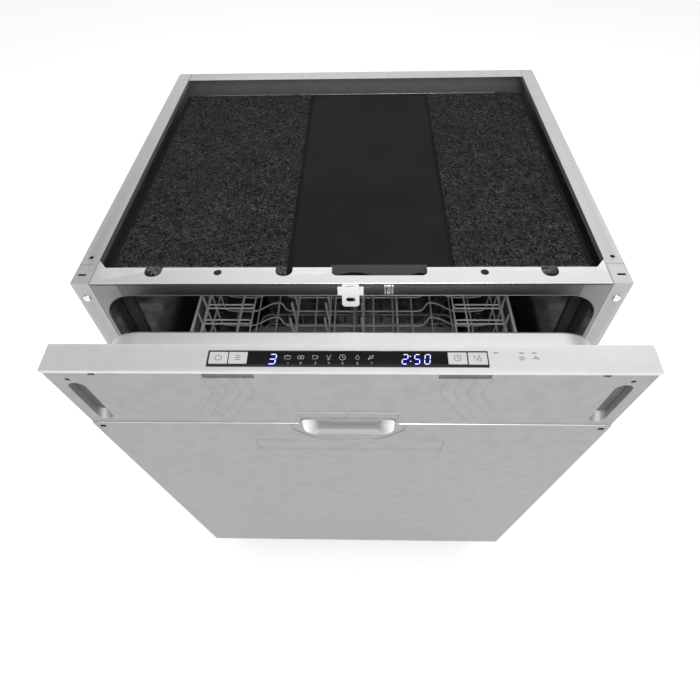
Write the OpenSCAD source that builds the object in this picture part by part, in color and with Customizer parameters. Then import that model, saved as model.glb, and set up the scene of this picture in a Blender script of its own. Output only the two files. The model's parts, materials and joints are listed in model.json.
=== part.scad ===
// Fully integrated 60 cm dishwasher, door ajar as it stands before a kitchen front is fitted.
// X is across the width, +Y points to the rear, +Z up. Lengths are in millimetres.

/* [Cabinet] */
// Width over both side panels
body_w = 598; // [570:1:620]
// Height from the floor to the top flanges
body_h = 815; // [790:1:870]
// Depth from the front flanges to the rear panel
body_d = 515; // [495:1:540]
// Thickness of the cabinet sheet
sheet_t = 1; // [0.8:0.1:1.2]
// Width of the folded flanges on the side panels
flange_w = 20; // [16:1:24]
// Depth of the rail across the front of the top
rail_d = 25; // [22:1:32]
// Height of the front lip of that rail
rail_lip_h = 12; // [9:0.5:14]
// Thickness of the felt pads on the tub
felt_t = 3; // [2:0.5:6]

/* [Tub] */
// Distance from the outside of the cabinet to the tub wall
tub_side = 24; // [22:1:30]
// Distance from the cabinet top down to the tub roof
tub_drop = 17.5; // [16:0.5:26]
// Height of the tub floor above the kitchen floor
tub_floor = 120; // [118:1:126]
// Distance from the back of the cabinet to the tub's rear wall
tub_rear = 45; // [36:1:60]
// Corner radius of the tub mouth
tub_r = 36; // [25:1:45]
// Radius of the filter well in the tub floor
well_r = 130; // [110:1:135]
// Distance of the filter well centre behind the middle of the tub
well_shift = 5; // [0:1:10]

/* [Door] */
// Gap from the side of the door to the side of the kitchen niche
door_gap = 1; // [1:0.5:3]
// Height of the hinge pins above the floor
hinge_z = 96; // [92:0.5:98]
// Distance of the hinge pins behind the front flanges
hinge_y = 8; // [7:0.5:9]
// Distance from the hinge pins to the outer face of the door
face_d = 42; // [40:0.5:46]
// Thickness of the door from the outer face to the liner flange
door_t = 31; // [28:0.5:32]
// Distance of the door's top edge below the top of the cabinet when shut
door_drop = 6; // [4:0.5:10]
// Angle by which the door stands open at rest
rest_angle = 5.8; // [4:0.2:8]
// Height of the recessed control section under the fascia
section_h = 119; // [110:1:130]
// How far the control section is set back
section_set = 1.5; // [1:0.25:2.5]
// Gap between the raised panel of the liner and the tub wall
liner_gap = 4.5; // [4:0.5:8]
// How far the raised panel stands behind the liner flange
liner_d = 36; // [30:0.5:38]
// Corner radius of the raised panel
liner_r = 45; // [30:1:55]

/* [Controls] */
// Length of the display window
window_l = 272; // [260:1:290]
// Width of the display window
window_w = 17.4; // [16:0.2:20]
// Distance from the outer face to the window
window_back = 6.5; // [5:0.5:8]
// Length of one key
key_l = 18.3; // [16:0.1:20]
// Width of one key
key_w = 13.4; // [12:0.2:14.5]
// Travel of one key
key_travel = 1; // [0.6:0.1:1.2]

/* [Racks] */
// Diameter of the rack wires
wire_d = 3.6; // [3:0.2:5]
// Gap between the upper rack and the tub wall
upper_side = 35; // [34:1:45]
// Length of the upper rack
upper_l = 412; // [380:1:412]
// Height of the upper rack floor
upper_z = 512; // [490:1:530]
// Height of the upper rack walls
upper_h = 118; // [90:1:125]
// Gap between the lower rack and the tub wall
lower_side = 45; // [45:1:55]
// Length of the lower rack
lower_l = 418; // [390:1:420]
// Height of the lower rack floor
lower_z = 176; // [172:1:190]
// Height of the lower rack walls
lower_h = 120; // [90:1:150]
// Spacing of the rack wires
wire_pitch = 34; // [26:1:44]
// Gap between the tip of the lower spray arm and the tub's rear wall
lower_arm_gap = 26; // [22:1:50]
// Distance from the tip of the upper spray arm to the end of its rack
upper_arm_gap = 18; // [14:1:40]

/* [Base] */
// Height of the base tray floor above the ground
base_z = 20; // [16:1:26]
// Distance of the base front behind the front flanges
base_front = 24; // [22:1:40]
// Distance from the side of the base to a front foot
foot_in = 27; // [24:1:50]
// Radius of a foot pad
foot_r = 17; // [14:1:20]
// Radius of a foot screw
foot_rod_r = 5; // [4:0.5:6]

/* [Hidden] */
$fn = 64;

fit = 0.3;
run_fit = 0.05;
half_w = body_w / 2;
inner_x = half_w - sheet_t;
flange_x = half_w - flange_w;
tub_x = half_w - tub_side;
tub_d = body_d - tub_rear;
tub_top = body_h - tub_drop;
well_y = tub_d / 2 + well_shift;
door_x = half_w - door_gap;
door_l = body_h - hinge_z - door_drop;
liner_back = door_t - face_d;
y_front = hinge_y - face_d * cos(rest_angle) - door_l * sin(rest_angle);
y_mid = (y_front + body_d) / 2;

module place() { translate([0, -y_mid, 0]) children(); }
// Door pieces are drawn with the hinge pins on the X axis and the door upright
module on_door() { place() translate([0, hinge_y, hinge_z]) rotate([rest_angle, 0, 0]) children(); }
module box(x, y, z) { translate([x[0], y[0], z[0]]) cube([x[1] - x[0], y[1] - y[0], z[1] - z[0]]); }
module both() { children(); mirror([1, 0, 0]) children(); }
module on_side(s) { if (s < 0) mirror([1, 0, 0]) children(); else children(); }
// Flat shape in X and Z, made y[1] - y[0] thick
module slab(y) { translate([0, y[1], 0]) rotate([90, 0, 0]) linear_extrude(y[1] - y[0]) children(); }
module rect(x, z) { translate([x[0], z[0]]) square([x[1] - x[0], z[1] - z[0]]); }
module round_rect(x, z, r) {
    rect([x[0] + r, x[1] - r], z);
    rect(x, [z[0] + r, z[1] - r]);
    for (cx = [x[0] + r, x[1] - r], cz = [z[0] + r, z[1] - r]) translate([cx, cz]) circle(r);
}
module rod_x(x, y, z, r) { translate([x[0], y, z]) rotate([0, 90, 0]) cylinder(h = x[1] - x[0], r = r); }
module rod_y(x, y, z, r) { translate([x, y[1], z]) rotate([90, 0, 0]) cylinder(h = y[1] - y[0], r = r); }
module rod_z(x, y, z, r) { translate([x, y, z[0]]) cylinder(h = z[1] - z[0], r = r); }

// Cabinet
screw_z = body_h - 22.4;
screw_x = half_w - 9.3;
top_hole_y = 42;
lip_h = 7;
lip_front = 34;
skirt_z = 62;
knuckle_r = 9.5;
flange_bottom = hinge_z + knuckle_r + 1.5;
side_back = body_d - sheet_t - fit;
module side_panel(s) {
    color("silver") place() on_side(s) difference() {
        union() {
            box([inner_x, half_w], [0, side_back], [skirt_z, body_h]);
            box([flange_x, half_w], [0, sheet_t], [flange_bottom, body_h]);
            box([flange_x, half_w], [0, side_back], [body_h - sheet_t, body_h]);
            box([flange_x, flange_x + sheet_t], [lip_front, side_back], [body_h - lip_h, body_h]);
        }
        rod_y(screw_x, [-1, sheet_t + 1], screw_z, 2);
        rod_z(screw_x, top_hole_y, [body_h - 2, body_h + 1], 2.5);
        box([half_w - 13, half_w - 4], [12, 15], [body_h - 2, body_h + 1]);
        box([inner_x - 1, half_w + 1], [-1, hinge_y + face_d], [skirt_z - 1, flange_bottom]);
    }
}

rail_x = flange_x - 0.5;
rail_notches = [[55.5 - rail_x, 74.5 - rail_x, 10.4], [rail_x - 70.5, rail_x - 52.5, 10.4],
    [-79, -60.4, 11.3], [-17.5, 85.6, 12]];
module front_top_rail() {
    color("gainsboro") place() difference() {
        union() {
            box([-rail_x, rail_x], [0, rail_d], [body_h - sheet_t, body_h]);
            box([-rail_x, rail_x], [0, sheet_t], [body_h - rail_lip_h, body_h]);
            box([-rail_x, rail_x], [rail_d - sheet_t, rail_d], [body_h - lip_h, body_h]);
            both() translate([0, 0, body_h - sheet_t]) linear_extrude(sheet_t)
                polygon([[rail_x, rail_d - 1], [rail_x, rail_d + 12], [rail_x - 11, rail_d - 1]]);
        }
        for (n = rail_notches) {
            r = n[1] - n[0] < 30 ? 8.5 : 6;
            box([n[0], n[1]], [n[2] + r, rail_d + 1], [body_h - lip_h - 1, body_h + 1]);
            box([n[0] + r, n[1] - r], [n[2], rail_d + 1], [body_h - lip_h - 1, body_h + 1]);
            for (x = [n[0] + r, n[1] - r]) rod_z(x, n[2] + r, [body_h - lip_h - 1, body_h + 1], r);
        }
        for (x = [-142, 147]) rod_z(x, 17, [body_h - 2, body_h + 1], 4.4);
    }
}

rear_z = 110;
module rear_panel() {
    color("silver") place() {
        box([-half_w, half_w], [body_d - sheet_t, body_d], [rear_z, body_h]);
        box([-rail_x, rail_x], [body_d - rail_d, body_d], [body_h - sheet_t, body_h]);
    }
}

// Tub
mouth_frame_top = body_h - rail_lip_h - fit;
module mouth(g) { round_rect([g - tub_x, tub_x - g], [tub_floor + g, tub_top - g], tub_r - g); }
base_x = half_w - 10;
base_back = body_d - 33;
salt_x = 89 - base_x;
salt_y = base_back - 97;
salt_r = 33;
module tub() {
    color("dimgray") place() {
        difference() {
            union() {
                slab([0, tub_d - fit]) mouth(-sheet_t);
                slab([0, sheet_t]) rect([fit - flange_x, flange_x - fit], [flange_bottom + 3, mouth_frame_top]);
            }
            slab([-1, tub_d]) mouth(0);
            rod_z(0, well_y, [tub_floor - 2, tub_floor + 1], well_r);
            rod_z(salt_x, salt_y, [tub_floor - 2, tub_floor + 1], salt_r + 1);
        }
        slab([tub_d, tub_d + sheet_t]) mouth(-sheet_t);
    }
}

gasket_y = hinge_y + liner_back + liner_d + 1;
gasket_w = 14;
gasket_t = 7;
strike_x = 3;
strike_low = body_h - 34;
panel_top = strike_low - hinge_z - 1;
module tub_gasket() {
    color("black") place() slab([gasket_y, gasket_y + gasket_t]) difference() {
        mouth(fit);
        round_rect([gasket_w - tub_x, tub_x - gasket_w], [0, hinge_z + panel_top - 4], tub_r - gasket_w);
        rect([-tub_x, tub_x], [0, tub_floor + 2 * gasket_w]);
    }
}

pad_z = tub_top + sheet_t + fit;
pad_y = [11, tub_d - 6];
sheet_l = -69;
sheet_r = 118;
pad_x = tub_x - 6;
module felt_pads() {
    color([0.16, 0.16, 0.17]) place() for (x = [[-pad_x, sheet_l], [sheet_r, pad_x]]) difference() {
        box(x, pad_y, [pad_z, pad_z + felt_t]);
        for (i = [1 : 3]) box([x[0] - 1, x[0] + 9], [100 * i, 100 * i + 7], [pad_z - 1, pad_z + felt_t + 1]);
    }
}
module damping_sheet() {
    color([0.1, 0.1, 0.1]) place() box([sheet_l + fit, sheet_r - fit], pad_y, [pad_z, pad_z + felt_t - 1]);
}

strike_y = [-1.7, -fit];
strike_hole_z = [strike_low + 7, strike_low + 14];
module latch_strike() {
    color("white") place() difference() {
        slab(strike_y) {
            rect([strike_x - 9, strike_x + 9], [body_h - 16, body_h - 1]);
            rect([strike_x - 14, strike_x + 14], [body_h - 16.5, body_h - 4.5]);
            round_rect([strike_x - 9.5, strike_x + 9.5], [strike_low, body_h - 12], 4);
        }
        slab([-4, 4]) round_rect([strike_x - 5, strike_x + 5], strike_hole_z, 3);
        slab([-4, 4]) rect([strike_x - 5, strike_x + 5], [body_h - 4, body_h - 2.5]);
    }
}
module frame_clip() {
    color("silver") place() box([39, 49], [-fit - 1, -fit], [body_h - 16, body_h - 2]);
}
module cabinet_screws() {
    color("gainsboro") place() for (s = [-1, 1]) {
        rod_y(s * screw_x, [-1.5, -fit], screw_z, 4);
        rod_y(s * screw_x, [-1, 8], screw_z, 1.7);
    }
}

// Water circuit
pipe_r = 8;
pipe_y = tub_d - 12;
sprayer_r = 21;
sprayer_y = well_y - 22;
// Pipe up the back of the tub, and the sprayer under the roof that it feeds
module feed_pipe() {
    color("gray") place() {
        rod_z(0, pipe_y, [tub_floor + fit, tub_top - fit], pipe_r);
        rod_y(0, [well_y + well_r + 2, pipe_y], tub_floor + pipe_r + fit, pipe_r);
        rod_y(0, [sprayer_y + sprayer_r + fit, pipe_y], tub_top - pipe_r - fit, pipe_r);
        difference() {
            union() {
                rod_z(0, sprayer_y, [tub_top - 16, tub_top - fit], sprayer_r);
                rod_z(0, sprayer_y, [tub_top - 20, tub_top - 16], 14);
            }
            for (a = [0 : 60 : 300]) translate([11 * cos(a), 11 * sin(a), 0])
                rod_z(0, sprayer_y, [tub_top - 21, tub_top - 18], 1.2);
        }
    }
}
sump_low = 42;
spindle_r = 12;
lower_arm_z = tub_floor + 22;
spindle_top = lower_arm_z + 12;
module sump() {
    color("darkgray") place() translate([0, well_y, 0]) {
        difference() {
            rod_z(0, 0, [sump_low, tub_floor - sheet_t - fit], sump_r);
            rod_z(0, 0, [sump_low + 3, tub_floor], well_r - 4);
        }
        rod_z(0, 0, [sump_low + 1, spindle_top], spindle_r);
        rod_z(0, 0, [sump_low + 1, lower_arm_z - fit], spindle_r + 4);
    }
}
filter_x = 66;
filter_r = 36;
module filter_plate() {
    color("silver") place() difference() {
        rod_z(0, well_y, [tub_floor - 4, tub_floor - fit], well_r - 4 - fit);
        rod_z(0, well_y, [tub_floor - 5, tub_floor + 1], spindle_r + 4 + fit);
        rod_z(filter_x, well_y, [tub_floor - 5, tub_floor + 1], filter_r + fit);
    }
}
filter_low = sump_low + 8;
module filter_cylinder() {
    color("lightgray") place() translate([filter_x, well_y, 0]) difference() {
        union() {
            rod_z(0, 0, [filter_low, tub_floor + 3], filter_r);
            rod_z(0, 0, [tub_floor, tub_floor + 5], filter_r + 5);
            box([-filter_r + 4, filter_r - 4], [-3, 3], [tub_floor, tub_floor + 14]);
        }
        for (a = [45, 135, 225, 315]) translate([20 * cos(a), 20 * sin(a), 0])
            rod_z(0, 0, [filter_low + 3, tub_floor + 6], 9);
    }
}
sump_r = well_r + 8;
pump_x = 84 - base_x;
pump_r = 36;
pump_z = tub_floor - 54;
module circulation_pump() {
    color("slategray") place() {
        rod_y(pump_x, [well_y - 90, well_y + 30], pump_z, pump_r);
        rod_y(pump_x, [well_y + 30, well_y + 50], pump_z, pump_r - 6);
        rod_x([pump_x + 25, -sump_r - fit], well_y, pump_z - 4, 13);
    }
}
drain_x = [sump_r + 27, base_x - 64];
drain_r = 24;
drain_z = tub_floor - 60;
module drain_pump() {
    color("darkslategray") place() {
        rod_x(drain_x, well_y, drain_z, drain_r);
        rod_x([sump_r + fit, drain_x[0] + 1], well_y, drain_z - 2, drain_r / 2);
        rod_y(drain_x[1] - 25, [well_y, well_y + 35], drain_z, 14);
    }
}
soft_top = tub_floor - sheet_t - fit;
module water_softener() {
    color("whitesmoke") place() difference() {
        union() {
            box([salt_x - 60, salt_x + 45], [salt_y - 55, salt_y + 50], [26, soft_top]);
            rod_z(salt_x, salt_y, [90, tub_floor + 6], salt_r);
        }
        rod_z(salt_x, salt_y, [60, tub_floor + 7], salt_r - 4);
    }
}
module salt_cap() {
    color("lightsteelblue") place() difference() {
        union() {
            rod_z(salt_x, salt_y, [tub_floor - 14, tub_floor + 7], salt_r - 4 - run_fit);
            rod_z(salt_x, salt_y, [tub_floor + 6 + fit, tub_floor + 14], salt_r + 2);
            box([salt_x - 26, salt_x + 26], [salt_y - 4, salt_y + 4], [tub_floor + 13, tub_floor + 22]);
        }
        rod_z(salt_x, salt_y, [tub_floor - 15, tub_floor + 4], salt_r - 8);
    }
}

// Base
base_wall = 3;
base_top = 88;
rear_foot_y = base_back - 24;
front_foot_y = base_front + 26;
foot_x = base_x - foot_in;
boss_top = base_z + 22;
feet = [[-foot_x, front_foot_y], [foot_x, front_foot_y], [0, rear_foot_y]];
module base_tray() {
    color([0.2, 0.2, 0.21]) place() difference() {
        union() {
            difference() {
                box([-base_x, base_x], [base_front, base_back], [base_z, base_top]);
                box([base_wall - base_x, base_x - base_wall], [base_front + base_wall, base_back - base_wall],
                    [base_z + base_wall, base_top + 1]);
            }
            for (f = feet) rod_z(f[0], f[1], [base_z, boss_top], 13);
        }
        for (f = feet) rod_z(f[0], f[1], [base_z - 1, boss_top + 1], foot_rod_r + run_fit);
    }
}
module kick_plate() {
    color("silver") place() difference() {
        box([-base_x + 20, base_x - 20], [base_front - sheet_t - fit, base_front - fit], [base_z + 4, base_top - 2]);
        both() rod_y(base_x - 40, [base_front - 3, base_front], base_z + 12, 2.5);
    }
}
foot_drop = 50;
module foot(f) {
    color([0.15, 0.15, 0.16]) place() {
        rod_z(f[0], f[1], [0, 7], foot_r);
        rod_z(f[0], f[1], [7, 14], 8);
        rod_z(f[0], f[1], [14, boss_top + foot_drop - 6], foot_rod_r);
    }
}
// Connections on the back of the base
port_z = 62;
port_back = body_d - 4;
inlet_x = 52 - base_x;
inlet_r = 13.2;
module inlet_valve() {
    color("white") place() difference() {
        union() {
            box([inlet_x - 25, inlet_x + 25], [base_back - 40, base_back - base_wall - fit], [port_z - 22, port_z + 22]);
            rod_y(inlet_x, [base_back + fit, port_back], port_z, inlet_r);
            rod_y(inlet_x, [base_back + fit, base_back + 3], port_z, inlet_r + 4);
        }
        rod_y(inlet_x, [base_back + 6, body_d], port_z, inlet_r - 4);
    }
}
drain_port_x = base_x - 57;
drain_port_r = 11;
module drain_spigot() {
    color("gray") place() difference() {
        rod_y(drain_port_x, [base_back + fit, port_back], port_z, drain_port_r);
        rod_y(drain_port_x, [base_back + 6, body_d], port_z, drain_port_r - 3);
    }
}
power_x = [base_x - 164, base_x - 132];
power_z = [port_z - 14, port_z + 10];
module power_inlet() {
    w = 4;
    color("black") place() difference() {
        box(power_x, [base_back + fit, base_back + 20], power_z);
        box([power_x[0] + w, power_x[1] - w], [base_back + 6, base_back + 21], [power_z[0] + w, power_z[1] - w]);
    }
}

// Hinges
hinge_arm_x = base_x - 8;
pin_r = 4;
module hinge_brackets() {
    color("darkgray") place() both() {
        difference() {
            union() {
                rod_x([base_x - 1.5, base_x + 1.5], hinge_y, hinge_z, knuckle_r);
                box([base_x - 1.5, base_x + 1.5], [hinge_y, 90], [hinge_z - 7, hinge_z + 7]);
                box([base_x - 1.5, base_x + 1.5], [40, 90], [base_top + fit, hinge_z + 20]);
                box([base_x - 1.5, inner_x - fit], [60, 90], [base_top + fit, base_top + 3]);
            }
            rod_x([base_x - 3, base_x + 3], 70, hinge_z + 10, 3);
        }
        rod_x([hinge_arm_x - 4, base_x + 4], hinge_y, hinge_z, pin_r);
    }
}
arm_up = 82;
module hinge_arms() {
    color("darkgray") on_door() both() difference() {
        union() {
            rod_x([hinge_arm_x - 2, hinge_arm_x + 2], 0, 0, knuckle_r);
            box([hinge_arm_x - 2, hinge_arm_x + 2], [3 - face_d, 0], [-knuckle_r, 3.5]);
            box([hinge_arm_x - 2, hinge_arm_x + 2], [3 - face_d, liner_back - 1.5], [-knuckle_r, arm_up]);
        }
        rod_x([hinge_arm_x - 3, hinge_arm_x + 3], 0, 0, pin_r + run_fit);
        rod_x([hinge_arm_x - 3, hinge_arm_x + 3], (3 - face_d + liner_back) / 2, 50, 3);
    }
}
spring_z = boss_top + 6;
module balance_springs() {
    color("gray") place() both() {
        rod_y(base_x - 18, [130, 330], spring_z, 9);
        box([base_x - 19, base_x - 17], [base_front + base_wall + fit, 131], [spring_z - 4, spring_z + 4]);
        box([base_x - 19, base_x - 17], [329, base_back - base_wall - fit], [spring_z - 4, spring_z + 4]);
    }
}

// Door
panel_low = 4;
section_z = door_l - section_h;
recess_y = section_set - face_d;
fascia_lip = 5;
side_top = door_l - fascia_lip - fit;
side_back_y = liner_back - fit;
section_back = recess_y + sheet_t;
pocket_x = [door_x - 31, door_x - 13];
pocket_z = [door_l - 110, door_l - 27];
pocket_floor = recess_y + 13.3;
corner_x = pocket_x[0] - 5;
cup_x = 53;
cup_z = [door_l - 149, door_l - 109];
cup_depth = 9;
cup_wall = 2;
cup_out = [cup_z[0] - cup_wall, cup_z[1] + cup_wall];
// Skin of the door below the grip cup, and a folded strip on each side of the cup
module door_sheet() {
    color([0.68, 0.68, 0.69]) on_door() {
        difference() {
            union() {
                box([-door_x, door_x], [-face_d, sheet_t - face_d], [panel_low, cup_out[0] - fit]);
                both() box([door_x - sheet_t, door_x], [-face_d, side_back_y], [panel_low, cup_out[0] - fit]);
                box([-door_x, door_x], [-face_d, side_back_y], [panel_low, panel_low + sheet_t]);
            }
            both() box([hinge_arm_x - 3, hinge_arm_x + 3], [2 - face_d, side_back_y + 1], [panel_low - 1, panel_low + 2]);
        }
        both() difference() {
            union() {
                box([cup_x + cup_wall + fit, door_x], [-face_d, sheet_t - face_d], [cup_out[0], section_z]);
                box([cup_x + cup_wall + fit, door_x], [-face_d, section_back], [section_z - sheet_t, section_z]);
                box([cup_x + cup_wall + fit, corner_x - fit], [recess_y, section_back], [section_z - sheet_t, cup_out[1]]);
                box([door_x - sheet_t, door_x], [-face_d, side_back_y], [cup_out[0], section_z]);
            }
            box([door_x - 12, door_x - 6], [-face_d - 1, section_back + 1], [section_z - 12, section_z - 6]);
        }
    }
}
// Plate of the set back control section
module section_plate() {
    color([0.68, 0.68, 0.69]) on_door() difference() {
        box([fit - corner_x, corner_x - fit], [recess_y, section_back], [cup_out[1] + fit, door_l - 1.5]);
        both() {
            box([90, 141], [recess_y - 1, section_back + 1], [door_l - 16, door_l - 8]);
            box([door_x - 51.5, door_x - 44.5], [recess_y - 1, section_back + 1], [door_l - 11, door_l - 5]);
        }
    }
}
module grip_cup() {
    color([0.68, 0.68, 0.69]) on_door() difference() {
        box([-cup_x - cup_wall, cup_x + cup_wall], [recess_y, recess_y + cup_depth], cup_out);
        slab([recess_y - 1, recess_y + cup_depth - 1.5]) round_rect([-cup_x, cup_x], cup_z, 8);
    }
}
// Corners of the section, each with a pocket pressed into it
module side_pockets() {
    color([0.68, 0.68, 0.69]) on_door() both() difference() {
        union() {
            box([corner_x, door_x], [recess_y, section_back], [section_z + fit, side_top]);
            box([corner_x, door_x - sheet_t - fit], [recess_y, section_back], [side_top - 1, door_l - 1.5]);
            box([door_x - sheet_t, door_x], [recess_y, side_back_y], [section_z + fit, side_top]);
            box([pocket_x[0] - 2, pocket_x[1] + 2], [recess_y, pocket_floor + 2], [pocket_z[0] - 2, pocket_z[1] + 2]);
        }
        slab([recess_y - 1, pocket_floor]) round_rect(pocket_x, pocket_z, 3);
        rod_y(door_x - 19, [recess_y - 1, section_back + 1], door_l - 20, 2.5);
    }
}

fascia_t = 1.2;
rear_lip = 14;
window_x = [1 - window_l / 2, 1 + window_l / 2];
window_y = [window_back - face_d, window_back + window_w - face_d];
key_y = window_back + window_w / 2 - face_d;
module control_fascia() {
    edge = door_x - sheet_t - fit;
    color([0.8, 0.8, 0.8]) on_door() difference() {
        union() {
            box([-door_x, door_x], [-face_d, liner_back], [door_l - fascia_t, door_l]);
            box([-door_x, door_x], [-face_d, sheet_t - face_d], [door_l - fascia_lip, door_l]);
            box([-edge, edge], [liner_back - sheet_t, liner_back], [door_l - rear_lip, door_l]);
            both() box([door_x - sheet_t, door_x], [-face_d, liner_back], [door_l - fascia_lip, door_l]);
        }
        box(window_x, window_y, [door_l - 2 * fascia_t, door_l + 1]);
    }
}
key_x = [-124, -104.9, 107.4, 126.75];
key_low = door_l - 8;
board_z = key_low - key_travel - 1.4;
module key_box(i, g, z) {
    box([key_x[i] - key_l / 2 - g, key_x[i] + key_l / 2 + g], [key_y - key_w / 2 - g, key_y + key_w / 2 + g], z);
}
module display_window() {
    color([0.04, 0.04, 0.05]) on_door() difference() {
        union() {
            box([window_x[0] + fit, window_x[1] - fit], [window_y[0] + fit, window_y[1] - fit],
                [door_l - 3, door_l]);
            for (x = [-84, 84]) box([x, x + 2], [key_y - 5, key_y + 5], [board_z + fit, door_l - 2]);
        }
        for (i = [0 : 3]) key_box(i, fit, [door_l - 4, door_l + 1]);
    }
}
module display_board() {
    color("darkgreen") on_door() {
        box([window_x[0] + 4, window_x[1] - 4], [key_y - 7, key_y + 7], [board_z - 1.6, board_z]);
        for (i = [0 : 3]) box([key_x[i] - 3, key_x[i] + 3], [key_y - 3, key_y + 3], [board_z, board_z + 1]);
    }
}
module key(i) { color("whitesmoke") on_door() key_box(i, 0, [key_low, door_l + 0.6]); }

panel_x = tub_x - liner_gap;
panel_z = [34, panel_top];
pan_x = panel_x - 24;
pan_z = [60, panel_top - 44];
pan_depth = liner_d - 8.5;
panel_y = liner_back + liner_d;
latch_x = [strike_x - 20, strike_x + 20];
latch_z = [door_l - 52, door_l - rear_lip - fit];
claw_z = strike_hole_z[0] / 2 + strike_hole_z[1] / 2 - hinge_z;
module liner_shape(g) { round_rect([g - panel_x, panel_x - g], [panel_z[0] + g, panel_z[1] - g], liner_r - g); }
module pan_shape(g) { round_rect([-pan_x - g, pan_x + g], [pan_z[0] - g, pan_z[1] + g], 24 + g); }
module inner_liner() {
    edge = door_x - sheet_t - fit;
    color([0.86, 0.86, 0.86]) on_door() difference() {
        union() {
            slab([liner_back, liner_back + sheet_t]) rect([-edge, edge], [panel_low + sheet_t + fit, door_l - 12]);
            slab([liner_back, panel_y]) liner_shape(0);
        }
        difference() {
            slab([liner_back - 1, panel_y - sheet_t]) liner_shape(sheet_t);
            slab([panel_y - pan_depth - sheet_t, panel_y]) pan_shape(sheet_t);
        }
        slab([panel_y - pan_depth, panel_y + 1]) pan_shape(0);
        box([strike_x - 5, strike_x + 5], [liner_back - 1, liner_back + 2], [claw_z - 3.5, claw_z + 3.5]);
    }
}
module door_insulation() {
    color("tan") on_door()
        box([-panel_x, panel_x], [sheet_t - face_d + fit, -22], [panel_low + 3, cup_z[0] - 12]);
}
pan_floor = panel_y - pan_depth;
disp_x = [-92, 82];
disp_z = [345, 452];
disp_y = pan_floor + 12;
lid_x = [-84, 8];
lid_z = [353, 444];
lid_travel = 62;
cap_x = 46;
cap_z = 398;
cap_r = 15;
module dispenser_body() {
    color("lightgray") on_door() difference() {
        slab([pan_floor + fit, disp_y]) round_rect(disp_x, disp_z, 12);
        box([lid_x[0] + 5, lid_x[1] - 5], [pan_floor + 3, disp_y + 1], [lid_z[0] + 5, lid_z[1] - 5]);
        rod_y(cap_x, [pan_floor + 2, disp_y + 1], cap_z, cap_r);
    }
}
module dispenser_lid() {
    color("gray") on_door() {
        box(lid_x, [disp_y + fit, disp_y + 2.3], lid_z);
        box([lid_x[0] + 20, lid_x[1] - 20], [disp_y + 2, disp_y + 5], [lid_z[0] + 6, lid_z[0] + 12]);
    }
}
module rinse_aid_cap() {
    color("lightblue") on_door() {
        rod_y(cap_x, [pan_floor + 4, disp_y + 1], cap_z, cap_r - run_fit);
        rod_y(cap_x, [disp_y + fit, disp_y + 3], cap_z, cap_r + 4);
        box([cap_x - 13, cap_x + 13], [disp_y + 2, disp_y + 6], [cap_z - 2, cap_z + 2]);
    }
}
module door_latch() {
    color([0.2, 0.2, 0.2]) on_door() {
        box(latch_x, [-36, liner_back - fit], latch_z);
        box([strike_x - 3, strike_x + 3], [liner_back - 3, liner_back + 5], [claw_z - 2, claw_z + 2]);
    }
}

// Racks
rail_out = tub_x - gasket_w - 0.5;
rail_z = [upper_z + 48, upper_z + 72];
rail_front = gasket_y - 14.5;
rail_l = tub_d - 56;
channel_y = [gasket_y + gasket_t + 1, tub_d - 25];
module rail_channels() {
    cut_y = [channel_y[0] - 1, tub_d];
    color("silver") place() both() difference() {
        box([rail_out - 4, tub_x - fit], channel_y, [rail_z[0] - 4, rail_z[1] + 4]);
        box([rail_out - 5, rail_out + fit], cut_y, [rail_z[0] - fit, rail_z[1] + fit]);
        box([rail_out + 4, tub_x - 3], cut_y, [rail_z[0] - fit, rail_z[1] + fit]);
    }
}
module sliding_rails() {
    color("gainsboro") place() both() difference() {
        box([rail_out - 9, rail_out], [rail_front, rail_front + rail_l], rail_z);
        box([rail_out - 10, rail_out - 3], [rail_front + 4, rail_front + rail_l - 4], [rail_z[0] + 3, rail_z[1] - 3]);
    }
}
// Grid of square bars between two corners, with about wire_pitch between them
module bars(a, b) {
    n = max(1, round((b[0] - a[0]) / wire_pitch));
    step = (b[0] - a[0] - wire_d) / n;
    for (i = [0 : n]) rect([a[0] + i * step, a[0] + i * step + wire_d], [a[1], b[1]]);
}
module grid(a, b, rows) {
    bars(a, b);
    step = (b[1] - a[1] - wire_d) / rows;
    for (i = [0 : rows]) rect([a[0], b[0]], [a[1] + i * step, a[1] + i * step + wire_d]);
}
// Open basket of five grids: x and y give its outline, z its floor and rim
module basket(x, y, z, rows) {
    w = wire_d;
    g = fit;
    translate([0, 0, z[0]]) linear_extrude(w) grid([x[0], y[0]], [x[1], y[1]], 8);
    for (f = [y[0], y[1] - w]) slab([f, f + w]) grid([x[0], z[0] + w + g], [x[1], z[1]], rows);
    for (f = [x[0], x[1] - w]) translate([f, 0, 0]) rotate([90, 0, 90]) linear_extrude(w)
        grid([y[0] + w + g, z[0] + w + g], [y[1] - w - g, z[1]], rows);
}
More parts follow.
